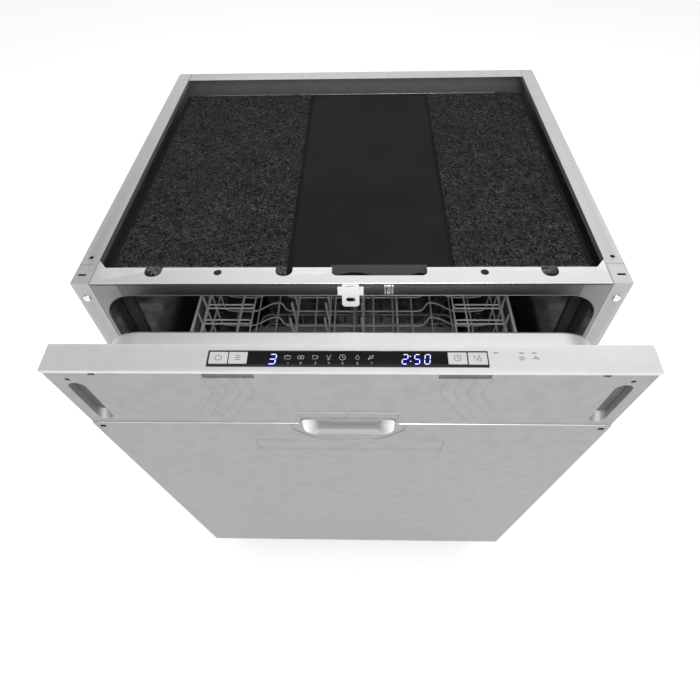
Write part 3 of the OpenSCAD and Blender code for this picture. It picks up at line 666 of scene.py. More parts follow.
def moulding(name, colour, rough, speckle, depth, **values):
    """Moulded plastic or rubber with a fine skin and slightly rubbed edges."""
    material, tree, shader = new_material(name, **values)
    clouds = group_node(tree, cloudy_tone_group, Scale=14.0)
    wear = group_node(tree, edge_wear_group, Reach=0.55)
    tone = mixed(tree, clouds.outputs["Tone"], shade(colour, 1 - speckle), shade(colour, 1 + speckle))
    tree.links.new(mixed(tree, wear.outputs["Mask"], tone, shade(colour, 1.3)), shader.inputs["Base Color"])
    fine = clouds.outputs["Fine"]
    tree.links.new(ranged(tree, fine, rough * 0.85, rough * 1.15), shader.inputs["Roughness"])
    bumped(tree, shader, fine, depth, 0.0001)
    return material


def felt_finish(name, colour):
    """Matted fibres: fine clumps of light and dark, a few pale strands and a deep rough skin."""
    material, tree, shader = new_material(
        name, Sheen_Weight=0.02, Sheen_Roughness=0.6, Specular_IOR_Level=0.02)
    place = laid(tree, "ShaderNodeTexCoord")
    clump = {"Scale": 190.0, "Detail": 7.0, "Roughness": 0.62, "Distortion": 1.8}
    tangle = laid(tree, "ShaderNodeTexNoise", clump)
    strands = laid(tree, "ShaderNodeTexNoise", {"Scale": 360.0, "Detail": 3.0, "Distortion": 2.5})
    clouds = group_node(tree, cloudy_tone_group, Scale=26.0)
    linked(tree, (place, "Object", tangle, "Vector"), (place, "Object", strands, "Vector"))
    dark, light = shade(colour, 0.12), shade(colour, 3.0)
    fibres = mixed(tree, ranged(tree, tangle.outputs["Fac"], 0, 1, 0.44, 0.62), dark, light)
    pale = mixed(tree, ranged(tree, strands.outputs["Fac"], 0, 1, 0.61, 0.68), fibres, shade(colour, 11))
    clouded = mixed(tree, ranged(tree, clouds.outputs["Tone"], 0, 0.4), pale, shade(colour, 0.6))
    tree.links.new(clouded, shader.inputs["Base Color"])
    tree.links.new(ranged(tree, tangle.outputs["Fac"], 0.85, 1.0), shader.inputs["Roughness"])
    bumped(tree, shader, tangle.outputs["Fac"], 0.9, 0.0016)
    return material


def glowing(name, colour, strength):
    """Lit display segments."""
    material, tree, shader = new_material(name, Emission_Strength=strength, Roughness=0.4)
    clouds = group_node(tree, cloudy_tone_group, Scale=40.0)
    lit = mixed(tree, clouds.outputs["Tone"], shade(colour, 0.9), shade(colour, 1.0))
    for label in ("Base Color", "Emission Color"):
        tree.links.new(lit, shader.inputs[label])
    return material


ALONG_X = (14, 2600, 2600)
ALONG_Y = (2600, 14, 2600)
ALONG_Z = (2600, 2600, 14)
ALL_WAYS = (300, 300, 300)


def finish_recipes():
    """The maker and values of each finish. The colours that a user may change come from the panel."""
    chosen = bpy.context.scene.dishwasher_finish
    return {
        "cabinet_steel": (sheet_metal, chosen.cabinet, 0.42, ALONG_X, 0.5, 0.12, 0.05, 0.9),
        "rail_steel": (sheet_metal, (0.66, 0.66, 0.655), 0.46, ALONG_X, 0.8, 0.15),
        "tub_steel": (sheet_metal, chosen.tub, 0.16, (30, 30, 30), 0.3, 0.05, 0.08),
        "fascia_steel": (sheet_metal, chosen.fascia, 0.46, ALONG_X, 1.4, 0.35, 0.07),
        "liner_steel": (sheet_metal, (0.74, 0.74, 0.735), 0.40, ALONG_X, 0.5, 0.08),
        "door_steel": (sheet_metal, chosen.door, 0.58, ALONG_Z, 0.7, 0.12, 0.04, 0.85),
        "hinge_steel": (sheet_metal, (0.50, 0.50, 0.50), 0.38, ALL_WAYS, 0.8, 0.2, 0.12),
        "spring_steel": (sheet_metal, (0.32, 0.32, 0.33), 0.35, ALONG_Y, 1.0, 0.2, 0.1),
        # The frame's face steel is darkened as painted shade; the steel of its corners and rim is lighter as
        # a painted reflection.
        "frame_steel": (sheet_metal, (0.155, 0.155, 0.155), 0.34, ALONG_X, 0.6, 0.1, 0.1),
        "frame_corner": (sheet_metal, (0.25, 0.25, 0.25), 0.36, ALONG_Z, 0.6, 0.1, 0.1),
        # Zinc of the screws; the same bright finish paints highlights on bars along the folds.
        "zinc": (sheet_metal, (0.92, 0.92, 0.91), 0.24, ALL_WAYS, 0.5, 0.1),
        # The grip cup's steel, with a painted highlight towards both ends.
        "cup_steel": (painted_highlight_metal, chosen.door, (0.97, 0.97, 0.96), 0.036, 0.049),
        "felt": (felt_finish, (0.018, 0.018, 0.0184)),
        "notch_felt": (felt_finish, (0.055, 0.055, 0.056)),
        "bitumen": (moulding, (0.0105, 0.0105, 0.011), 0.6, 0.2, 0.2, {"Specular_IOR_Level": 0.05}),
        "lip_grey": (moulding, (0.042, 0.042, 0.043), 0.6, 0.08, 0.1, {"Specular_IOR_Level": 0.2}),
        # Dark rubber of the seal; the same black also paints shade on plates, discs and strips in pockets,
        # holes and gaps.
        "seal_rubber": (moulding, (0.03, 0.03, 0.03), 0.6, 0.1, 0.2),
        "white_plastic": (moulding, (0.86, 0.87, 0.87), 0.35, 0.02, 0.08),
        "grey_plastic": (moulding, (0.36, 0.37, 0.38), 0.42, 0.06, 0.2),
        "dark_plastic": (moulding, (0.035, 0.035, 0.038), 0.5, 0.12, 0.3),
        "window_black": (moulding, (0.006, 0.006, 0.008), 0.09, 0.1, 0.0, {"Coat_Weight": 0.2}),
        "key_plastic": (moulding, (0.44, 0.44, 0.445), 0.35, 0.02, 0.05),
        "board_green": (moulding, (0.02, 0.12, 0.05), 0.4, 0.1, 0.2),
        "wire_coat": (moulding, (0.86, 0.87, 0.88), 0.25, 0.05, 0.08, {"Coat_Weight": 0.5}),
        "clear_blue": (moulding, (0.16, 0.30, 0.46), 0.3, 0.05, 0.1),
        "vent_grey": (moulding, (0.11, 0.11, 0.11), 0.6, 0.15, 0.3),
        "icon_grey": (moulding, (0.10, 0.10, 0.11), 0.5, 0.03, 0.0),
        "icon_pale": (moulding, (0.30, 0.31, 0.32), 0.5, 0.03, 0.0),
        "digit_blue": (glowing, chosen.digits, 2.2),
        "digit_core": (glowing, (0.72, 0.76, 1.0), 1.1),
        "floor_paint": (
            moulding, (0.94, 0.94, 0.94), 0.7, 0.005, 0.02,
            {"Specular_IOR_Level": 0.1, "Emission_Color": (1, 1, 1, 1), "Emission_Strength": 0.34}),
    }


FINISHES = {}


def finish(name):
    """The named material, made on first use. The frame's plain materials hold the bare slot names."""
    if name not in FINISHES:
        maker, *values = finish_recipes()[name]
        sockets = values.pop() if isinstance(values[-1], dict) else {}
        FINISHES[name] = maker(name, *values, **sockets)
        FINISHES[name].name = name + "_finish"
    return FINISHES[name]


# Drawings and outlines


SEGMENTS = {
    "0": "abcdef", "1": "bc", "2": "abged", "3": "abgcd", "4": "fgbc",
    "5": "afgcd", "6": "afgcde", "7": "abc",
}


def segment_digit(bm, digit, x, y, wide, tall, stroke, base, share=1):
    """A seven-segment digit with its lower left corner at x, y, its strokes a share of their width."""
    mid, top, right = y + tall / 2, y + tall, x + wide
    gap, lean = stroke * 0.55, 0.13
    bars = {
        "a": ((x, top), (right, top)), "g": ((x, mid), (right, mid)), "d": ((x, y), (right, y)),
        "f": ((x, mid), (x, top)), "b": ((right, mid), (right, top)),
        "e": ((x, y), (x, mid)), "c": ((right, y), (right, mid)),
    }
    for name in SEGMENTS[digit]:
        start, end = (Vector((p[0] + (p[1] - y) * lean, p[1])) for p in bars[name])
        run = (end - start).normalized() * gap
        ribbon(bm, [start + run, end - run], stroke * share, base)


def drawn(bm, strokes, x, y, size, width, base):
    """Line drawing on a unit square, centred at x, y."""
    for points in strokes:
        ribbon(bm, [(x + px * size, y + py * size) for px, py in points], width, base)


def ring_stroke(radius, start=0, end=360, centre=(0, 0)):
    """Points on an arc, angles in degrees."""
    angles = [math.radians(start + (end - start) * i / 16) for i in range(17)]
    return [(centre[0] + radius * math.cos(a), centre[1] + radius * math.sin(a)) for a in angles]


def ray(degrees):
    """A short stroke that points away from the middle."""
    a = math.radians(degrees)
    return [(r * math.cos(a), r * math.sin(a)) for r in (0.26, 0.5)]


POWER_ICON = (ring_stroke(0.42, 120, 420), ((0, 0.1), (0, 0.55)))
LIST_ICON = (((-0.35, 0.3), (0.35, 0.3)), ((-0.35, 0), (0.35, 0)), ((-0.35, -0.3), (0.35, -0.3)))
CLOCK_ICON = (ring_stroke(0.45), ((0, 0.3), (0, 0), (0.22, -0.1)))
HALF_ICON = (
    ((-0.5, 0.25), (-0.38, 0.42), (-0.38, 0.02)),
    ((-0.3, -0.45), (0.3, 0.45)),
    ((0.12, -0.08), (0.2, 0.02), (0.4, 0.0), (0.42, -0.14), (0.12, -0.42), (0.46, -0.42)),
)
POT_ICON = (((-0.5, 0.2), (-0.42, -0.3), (0.42, -0.3), (0.5, 0.2), (-0.5, 0.2)), ((-0.3, 0.34), (0.3, 0.34)))
PLATES_ICON = (
    ring_stroke(0.3, centre=(-0.2, 0)),
    ring_stroke(0.3, 60, 300, (0.16, 0)),
    ((0.4, 0.3), (0.4, -0.3)),
)
CUP_ICON = (
    ((-0.4, 0.3), (-0.3, -0.3), (0.2, -0.3), (0.3, 0.3), (-0.4, 0.3)),
    ring_stroke(0.16, -80, 80, (0.28, 0)),
)
GLASS_ICON = (
    ((-0.3, 0.42), (-0.2, 0), (0.2, 0), (0.3, 0.42)),
    ((0, 0), (0, -0.36)),
    ((-0.25, -0.4), (0.25, -0.4)),
)
DROP_ICON = (((0, 0.45), (-0.25, 0), (-0.2, -0.28), (0, -0.38), (0.2, -0.28), (0.25, 0), (0, 0.45)),)
LEAF_ICON = (
    ((-0.4, -0.35), (-0.1, 0.3), (0.4, 0.38), (0.3, -0.1), (-0.25, -0.2)),
    ((-0.45, -0.45), (0.25, 0.2)),
)
SUN_ICON = (ring_stroke(0.16), *(ray(a) for a in range(0, 360, 45)))
TAP_ICON = (
    ((-0.5, 0.05), (-0.1, 0.05)),
    ring_stroke(0.16, centre=(0.08, 0.05)),
    ((0.24, 0.05), (0.42, 0.05), (0.42, -0.35)),
    ((0.08, 0.21), (0.08, 0.4)),
    ((-0.06, 0.4), (0.22, 0.4)),
)


def inset(span, by):
    return (span[0] + by, span[1] - by)


def rounded_rim(x, z, radius, y, grow):
    """A rounded rectangle loop, grown outwards, in the plane of a given y."""
    return in_xz(rounded_loop(inset(x, -grow), inset(z, -grow), radius + grow, 10), y)


def quarter(start, end, turn, count=5):
    """Points of a quarter round between two (grow, depth) values; turn is which value moves first."""
    points = []
    for i in range(count + 1):
        a = math.pi / 2 * i / count
        u, v = (math.sin(a), 1 - math.cos(a)) if turn == 0 else (1 - math.cos(a), math.sin(a))
        points.append((start[0] + (end[0] - start[0]) * u, start[1] + (end[1] - start[1]) * v))
    return points


def helix(x, z, radius, y, turns):
    """Points of a coil along Y."""
    per_turn = 14
    count = turns * per_turn
    points = []
    for i in range(count + 1):
        a = 2 * math.pi * i / per_turn
        points.append((x + radius * math.cos(a), y[0] + (y[1] - y[0]) * i / count, z + radius * math.sin(a)))
    return points


# Sizes and colours that a user may change


def colour(name, description, default):
    return FloatVectorProperty(
        name=name, description=description, subtype="COLOR", size=3, min=0, max=1, default=default)


def length(name, description, default, low, high):
    return FloatProperty(
        name=name, description=description, unit="LENGTH", default=default, min=low, max=high)


def power(name, description, default):
    return FloatProperty(name=name, description=description, unit="POWER", default=default, min=0)


class DishwasherFinish(bpy.types.PropertyGroup):
    """Colours and fine sizes of the dishwasher's finish."""

    cabinet: colour("Cabinet steel", "Colour of the galvanised cabinet sheet", (0.47, 0.472, 0.475))
    tub: colour("Tub steel", "Colour of the polished tub", (0.60, 0.60, 0.61))
    fascia: colour("Fascia steel", "Colour of the brushed top edge of the door", (0.70, 0.70, 0.695))
    door: colour("Door steel", "Colour of the matt sheet on the front of the door", (0.36, 0.36, 0.363))
    digits: colour("Digits", "Colour of the lit digits", (0.03, 0.035, 0.95))
    wire: length("Rack wire", "Diameter of the rack wires", 0.0032, 0.002, 0.005)
    rim_wire: length("Rim wire", "Diameter of the rims of the racks", 0.0046, 0.003, 0.007)


class FeltFinish(bpy.types.PropertyGroup):
    """Sizes of the felt that lies on the tub."""

    rough: length("Unevenness", "How far the felt rises and falls", 0.0012, 0, 0.003)
    fibre: length("Fibre length", "Length of a loose fibre", 0.0034, 0.001, 0.01)
    density: FloatProperty(
        name="Fibres", description="Loose fibres on a square metre of felt", default=42000, min=0, max=60000)
    seed: IntProperty(name="Seed", description="Pattern of the fibres", default=4, min=0, max=1000)


class StudioSetup(bpy.types.PropertyGroup):
    """Camera and light."""

    lens: FloatProperty(
        name="Lens", description="Focal length on a 36 mm sensor", unit="CAMERA",
        default=25.82, min=10, max=100)
    key: power("Main light", "Power of the softbox behind and above", 18)
    fill: power("Fill light", "Power of the light in front", 6)
    near: power("Near light", "Power of the light over the camera", 6)
    air: FloatProperty(
        name="Surround", description="Brightness of the surrounding room", default=0.62, min=0, max=5)


# Operators

# Where the photo's camera stands, in metres, and its yaw, pitch and roll in degrees.
CAMERA_PLACE = (0.0175, FRONT - 0.3874, 1.186)
CAMERA_TURN = (-2.538, 51.308, -1.840)
FLOOR_RADIUS = 6


class MakeStudio(bpy.types.Operator):
    """Set the camera at the photographed angle, with floor, lights and a pale room"""

    bl_idname = "dishwasher.studio"
    bl_label = "Studio"

    def execute(self, context):
        chosen = context.scene.dishwasher_studio
        yaw, pitch, roll = (math.radians(a) for a in CAMERA_TURN)
        forward = Vector((math.sin(yaw) * math.cos(pitch), math.cos(yaw) * math.cos(pitch), -math.sin(pitch)))
        level = Vector((math.cos(yaw), -math.sin(yaw), 0))
        upright = level.cross(forward)
        right = math.cos(roll) * level + math.sin(roll) * upright
        upward = -math.sin(roll) * level + math.cos(roll) * upright
        data = bpy.data.cameras.new("photo_view")
        data.lens = chosen.lens
        data.sensor_width = 36
        data.clip_start = 0.01
        camera = linked_object("photo_view", data)
        turn = Matrix((right, upward, -forward)).transposed().to_4x4()
        camera.matrix_world = Matrix.Translation(CAMERA_PLACE) @ turn
        context.scene.camera = camera

        bm = bmesh.new()
        angles = steps(0, 2 * math.pi, 0.13)[:-1]
        ring = [(FLOOR_RADIUS * math.cos(a), FLOOR_RADIUS * math.sin(a), 0) for a in angles]
        bm.faces.new([bm.verts.new(point) for point in ring])
        mesh = as_mesh("floor_mesh", bm)
        mesh.materials.append(finish("floor_paint"))
        linked_object("studio_floor", mesh)

        room = bpy.data.worlds.new("pale_room")
        room.use_nodes = True
        sky = room.node_tree.nodes["Background"]
        sky.inputs["Color"].default_value = (1, 1, 1, 1)
        sky.inputs["Strength"].default_value = chosen.air
        context.scene.world = room
        context.scene.view_settings.view_transform = "Standard"
        lamps = (
            ("rear_softbox", (0.45, 1.7, 2.5), (0, 0, 0.8), (3.4, 1.8), chosen.key),
            ("front_light", (0.4, -2.2, 2.2), (0, 0, 0.4), (1.8, 1.8), chosen.fill),
            ("near_light", (0.12, FRONT - 0.62, 1.5), (0, FRONT + 0.1, 0.6), (0.5, 0.4), chosen.near),
        )
        for name, place, target, size, energy in lamps:
            lamp = bpy.data.lights.new(name, "AREA")
            lamp.shape = "RECTANGLE"
            lamp.size, lamp.size_y = size
            lamp.energy = energy
            aim = (Vector(target) - Vector(place)).to_track_quat("-Z", "Y")
            linked_object(name, lamp).matrix_world = Matrix.Translation(place) @ aim.to_matrix().to_4x4()
        return {"FINISHED"}


class MakeSidePanels(bpy.types.Operator):
    """Dress both side panels with pressed fields, the step in the top flange and rounded folds"""

    bl_idname = "dishwasher.side_panels"
    bl_label = "Side panels"

    def execute(self, context):
        for node, side in (("side_panel_left", -1), ("side_panel_right", 1)):
            low, high = cad_span(node)
            outer = high.x if side > 0 else low.x
            web = sorted((outer + side * 2, outer - side * 0.45))
            bm = bmesh.new()
            for z in ((150, 430), (470, 750)):
                for y in ((60, 225), (265, 450)):
                    flat = rounded_loop(y, z, 26)
                    loft(bm, [in_yz(flat, x) for x in web])
            flange = sorted((outer - side * 21, outer - side * 0.6))
            add_box(bm, flange, (29.8, 30.3), (high.z - 0.45, high.z + 1))
            softened(node, 0.35, bm)
        return {"FINISHED"}


class MakeTopRails(bpy.types.Operator):
    """Dress the front top rail, the face of the frame under it and the rear panel"""

    bl_idname = "dishwasher.top_rails"
    bl_label = "Top rails and rear panel"

    def execute(self, context):
        top = cad_span("front_top_rail")[1].z
        half = 277
        bm = bmesh.new()
        add_box(bm, (-57, -39), (14.4, 15.0), (top - 0.35, top + 1))
        for x in (-278.2, 277.4):
            add_box(bm, (x, x + 0.7), (0.9, 24), (top - 0.4, top + 1))
        softened("front_top_rail", 0.3, bm)

        mouth = rounded_loop((-275, 275), (120, 797.5), 36, 12)
        corners = [on_side(side, 249, 278.2) for side in SIDES]
        # The frame's face takes darkened steel, painted shade, and its corner plates take lighter steel, a
        # painted reflection.
        for name, look, spans, y, z in (
                ("frame_front_face", "frame_steel", [(-278.4, 278.4)], (-0.22, -0.02), (700, top - 0.7)),
                ("frame_corner_plates", "frame_corner", corners, (-0.3, -0.1), (690, top - 0.8))):
            plate, opening = bmesh.new(), bmesh.new()
            for x in spans:
                add_box(plate, x, y, z)
            loft(opening, [in_xz(mouth, depth) for depth in (-2, 2)])
            mesh = less(mesh_from(name + "_mesh", plate, CABINET), opening, CABINET)
            finished(name, mesh, look, "cabinet")

        # The rim's line ends over the lower rack's wheels, which pass there when the door opens.
        rim_y, rim_end = -0.1, 250
        line = rounded_loop((-274.6, 274.6), (120.4, 797.1), 35.6, 12)
        rim = in_xz([p for p in line if p[1] > 400], rim_y)
        rim = [(rim[0][0], rim_y, rim_end), *rim, (rim[-1][0], rim_y, rim_end)]
        # The mouth's rim bar takes the lighter corner steel, a painted reflection.
        round_bars("frame_mouth_rim", [rim], 0.9, "frame_corner", sides=8)
        # A bright bar paints the highlight along the rail's front fold, and a black strip under it paints the
        # shadow in the gap.
        edge = [(-half, 0.3, top - 0.51), (half, 0.3, top - 0.51)]
        round_bars("rail_front_edge", [edge], 1.0, "zinc")
        shadow = bmesh.new()
        add_box(shadow, (-half, half), (-0.32, -0.2), (top - 2.6, top - 1.4))
        shaped("rail_shadow_gap", shadow, "seal_rubber")

        back = cad_span("rear_panel")[1].y
        bm = bmesh.new()
        for x in ((-250, -150), (-110, -10), (30, 130), (170, 250)):
            flat = rounded_loop(x, (170, 740), 22)
            loft(bm, [in_xz(flat, y) for y in (back - 0.45, back + 2)])
        softened("rear_panel", 0.3, bm)
        return {"FINISHED"}


def fibre_unit(size):
    """One bent fibre of half a given length, in metres."""
    bend = (
        (-size, 0, 0),
        (-size * 0.4, size * 0.25, size * 0.12),
        (size * 0.4, -size * 0.1, size * 0.16),
        (size, size * 0.2, 0.0),
    )
    rings = []
    for i, p in enumerate(bend):
        thin = 0.00016 if i in (0, 3) else 0.00028
        rings.append([(p[0], p[1] + thin * math.cos(a), p[2] + thin * math.sin(a)) for a in (0, 2.1, 4.2)])
    strand = bmesh.new()
    loft(strand, rings)
    bmesh.ops.recalc_face_normals(strand, faces=strand.faces)
    return linked_object("fibre_unit", as_mesh("fibre_unit", strand))


class MakeFelt(bpy.types.Operator):
    """Lay the bonded felt pads and the smooth damping sheet on the tub"""

    bl_idname = "dishwasher.felt"
    bl_label = "Felt and damping sheet"

    def execute(self, context):
        chosen = context.scene.dishwasher_felt
        low, high = cad_span("felt_pads")
        sheet_low, sheet_high = cad_span("damping_sheet")
        top = high.z

        def tangled(x, y):
            tangle = noise.fractal(Vector((x * 0.09, y * 0.09, 3)), 0.8, 2.1, 5)
            tangle += 0.6 * noise.noise(Vector((x * 0.5, y * 0.5, 9)))
            return top - 0.5 + chosen.rough / MM * tangle

        pads = bmesh.new()
        for span, edge in (((low.x, sheet_low.x - 0.5), low.x), ((sheet_high.x + 0.5, high.x), high.x)):
            xs, ys = steps(*inset(span, 1.5), 4), steps(low.y + 1.5, high.y - 1.5, 4)
            bm = bmesh.new()
            heightfield(bm, xs, ys, tangled, top - low.z - 1.2)
            for vert in bm.verts:
                ragged = noise.noise(Vector((vert.co.x * 0.15, vert.co.y * 0.06, 5))) * 2.4
                near = max(0, 1 - abs(vert.co.x - edge) / 14)
                tab = 3.5 if (vert.co.y % 100) > 86 else 0
                vert.co.x += math.copysign(near * (ragged - 2 + tab), edge)
                vert.co.y += ragged * 0.4 * max(0, 1 - abs(vert.co.y - low.y) / 12)
            part = as_mesh("part", bm)
            pads.from_mesh(part)
            bpy.data.meshes.remove(part)
        mesh = mesh_from("felt_pads_base", pads, CABINET, 60, False)
        fibre = fibre_unit(chosen.fibre / 2)
        made = through_tree(
            fibre_tree, mesh, Fibre=fibre, Density=chosen.density, Seed=chosen.seed, Material=finish("felt"))
        bpy.data.objects.remove(fibre)
        finished("felt_pads_fibrous", made, "felt", "cabinet", "felt_pads")

        backing = bmesh.new()
        add_box(backing, (-276.5, 276.5), (low.y - 6, high.y + 1), (low.z + 0.05, low.z + 0.6))
        shaped("felt_backing", backing, "bitumen")

        # The felt and the sheet's lip behind the rail, both drawn over a share of their depth.
        shares = (0, 0.2, 0.4, 0.6, 0.8, 1.0)
        strip = bmesh.new()
        for span in ((-262, sheet_low.x - 1), (sheet_high.x + 1, 262)):
            xs = steps(*span, 2.5)
            heightfield(strip, xs, shares, lambda x, t: top + 0.4 + 1.6 * math.sin(t * math.pi), 0.9)
        for vert in strip.verts:
            x, t = vert.co.x, vert.co.y
            start = 27.5 + 0.6 * noise.noise(Vector((x * 0.1, 0, 2)))
            vert.co.y = start + t * (41.5 - start)
            vert.co.z += 0.25 * noise.noise(Vector((x * 0.25, vert.co.y * 0.25, 4)))
        cloth = {"sharp": 60, "recalculate": False}
        shaped("felt_front_strip", strip, "notch_felt", **cloth)

        lip = bmesh.new()
        bow = 0.8 * math.pi
        heightfield(lip, steps(-20, 88, 1.5), shares, lambda x, t: top + 0.7 + 1.9 * math.sin(t * bow), 0.8)
        for vert in lip.verts:
            x, t = vert.co.x, vert.co.y
            start = 25.5
            for low_x, high_x, rise in ((-13, 26, 5.4), (70, 88, 4.4)):
                if low_x < x < high_x:
                    start += rise * math.sin(math.pi * (x - low_x) / (high_x - low_x))
            vert.co.y = start + t * (42 - start)
        shaped("sheet_front_lip", lip, "lip_grey", **cloth)

        def smooth_top(x, y):
            wave = 0.35 * noise.noise(Vector((x * 0.02, y * 0.02, 1)))
            across = max(0, 1 - ((x - 30) / 48) ** 2)
            rise = max(0, 1 - (y - sheet_low.y) / 16)
            return sheet_high.z + wave - 0.3 + 3.4 * across * math.sin(rise * math.pi * 0.5) ** 2

        xs = steps(sheet_low.x + 0.5, sheet_high.x - 0.5, 6)
        ys = [sheet_low.y + d for d in (0, 1.5, 3, 4.5, 6, 8, 10, 13, 17, 22)]
        ys += steps(sheet_low.y + 30, sheet_high.y, 9)
        bm = bmesh.new()
        heightfield(bm, xs, ys, smooth_top, 1.2)
        shaped("damping_sheet_smooth", bm, "bitumen", replaced=("damping_sheet",), **cloth)
        return {"FINISHED"}


class MakeStrike(bpy.types.Operator):
    """Make the white latch strike, the bent clip and the two flange screws"""

    bl_idname = "dishwasher.strike"
    bl_label = "Latch strike, clip and screws"

    def execute(self, context):
        softened("latch_strike", 0.45)
        low, high = cad_span("frame_clip")
        front, back = low.y, high.y
        outline = (
            (back, low.z), (front, low.z + 0.5), (front, low.z + 4), (front + 0.5, low.z + 5.5),
            (front + 0.2, high.z - 4), (front, high.z - 1.5), (back, high.z), (back, high.z - 1),
            (back, low.z + 1),
        )
        bm = bmesh.new()
        for span in ((low.x, low.x + 2.2), (low.x + 3.0, high.x - 3.0), (high.x - 2.2, high.x)):
            loft(bm, [in_yz(outline, x) for x in span])
        shaped("frame_clip_bent", bm, "rail_steel", replaced=("frame_clip",), sharp=25, edge=0.15, angle=30)

        low, high = cad_span("cabinet_screws")
        head_r = 4
        screw_x, screw_z = high.x - head_r, (low.z + high.z) / 2
        unit = bmesh.new()
        profile = ((1.7, -8), (1.7, 0.2), (head_r, 0.3), (head_r, 0.7), (3.6, 1.15), (2.4, 1.42), (0.4, 1.5))
        add_turned(unit, profile, (0, 0, 0), (0, -1, 0), 28)
        mesh = mesh_from("screw_mesh", unit, SCALED, 40)
        long, wide = (-2.1, 2.1), (-0.42, 0.42)
        for x, z in ((long, wide), (wide, long)):
            slot = bmesh.new()
            add_box(slot, x, (-2, -0.75), z)
            mesh = less(mesh, slot, SCALED)
        screw = bmesh.new()
        screw.from_mesh(mesh)
        screw.transform(Matrix.Scale(1 / MM, 4))
        places = [(side * screw_x, 0, screw_z) for side in SIDES]
        repeated("flange_screws", screw, places, "zinc", "cabinet_screws")
        return {"FINISHED"}


class MakeTub(bpy.types.Operator):
    """Make the tub with its rolled mouth and pressed wall ribs, and the rubber seal"""

    bl_idname = "dishwasher.tub"
    bl_label = "Tub and seal"

    def execute(self, context):
        softened("tub", 0.5)
        softened("tub_gasket", 1.2)
        wall, back = 273.6, cad_span("tub")[1].y - 2.4
        ribs = []
        for z in (230, 330, 430, 480):
            for side in SIDES:
                ribs.append([(side * wall, y, z) for y in (70, 76, 400, 406)])
        for x in (-180, -60, 60, 180):
            ribs.append([(x, back, z) for z in (160, 170, 700, 710)])
        round_bars("tub_ribs", ribs, 5, "tub_steel")
        return {"FINISHED"}


class MakeBase(bpy.types.Operator):
    """Dress the base tray, plinth plate, feet, springs, hinges and the rear connections"""

    bl_idname = "dishwasher.base"
    bl_label = "Base, feet, springs and hinges"

    def execute(self, context):
        for node, width in (
                ("base_tray", 0.8), ("kick_plate", 0.3), ("power_inlet", 0.6),
                ("hinge_brackets", 0.35), ("hinge_arms", 0.35)):
            softened(node, width)
        for node in ("front_foot_left", "front_foot_right", "rear_foot"):
            low, high = cad_span(node)
            centre = ((low.x + high.x) / 2, (low.y + high.y) / 2, 0)
            radius = (high.x - low.x) / 2
            profile = [
                (radius - 3, 0), (radius - 0.6, 0.6), (radius, 2), (radius, 5), (radius - 1, 6.4), (9, 7),
                (8, 7.4), (8, 13.6), (7.2, 14), (5, 14.2),
            ]
            z, pitch, crest, root = 16, 2.0, 4.95, 4.3
            while z < high.z - 2:
                profile += [(crest, z), (root, z + 0.7), (root, z + 0.9), (crest, z + 1.6)]
                z += pitch
            profile += [(4.6, high.z - 0.4), (4.2, high.z)]
            bm = bmesh.new()
            add_turned(bm, profile, centre, (0, 0, 1), 32)
            shaped(node + "_turned", bm, "dark_plastic", body=BODY_OF[node], replaced=(node,), sharp=40)

        springs = "balance_springs"
        low, high = cad_span(springs)
        centre_z = (low.z + high.z) / 2
        body = BODY_OF[springs]
        coils, straps = [], bmesh.new()
        for side in SIDES:
            x = side * (high.x - 9)
            coil = helix(x, centre_z, 7.6, (133, 327), 56)
            coils.append([(x, 127, centre_z), (x, 131, centre_z), (x + 4, 132.5, centre_z)] + coil)
            coils.append([coil[-1], (x + 4, 328, centre_z), (x, 329.5, centre_z), (x, 333, centre_z)])
            for y in ((low.y, 130), (330, high.y)):
                add_box(straps, (x - 1, x + 1), y, (centre_z - 4, centre_z + 4))
        round_bars(
            "balance_spring_coils", coils, 2.4, "spring_steel", body=body, sides=8, replaced=(springs,))
        shaped("balance_spring_straps", straps, "hinge_steel", body=body, edge=0.3)

        for node, radius in (("inlet_valve", 13.2), ("drain_spigot", 11)):
            softened(node, 0.5)
            low, high = cad_span(node)
            root, crest = radius - 0.6, radius + 0.5
            profile = ((root, 0), (crest, 0.8), (crest, 1.1), (root, 1.9))
            thread = bmesh.new()
            for i in range(5):
                centre = ((low.x + high.x) / 2, high.y - 3 - i * 3, 62)
                add_turned(thread, profile, centre, (0, -1, 0), 36)
            shaped(node + "_threads", thread, SLOTS[node], sharp=50)
        return {"FINISHED"}


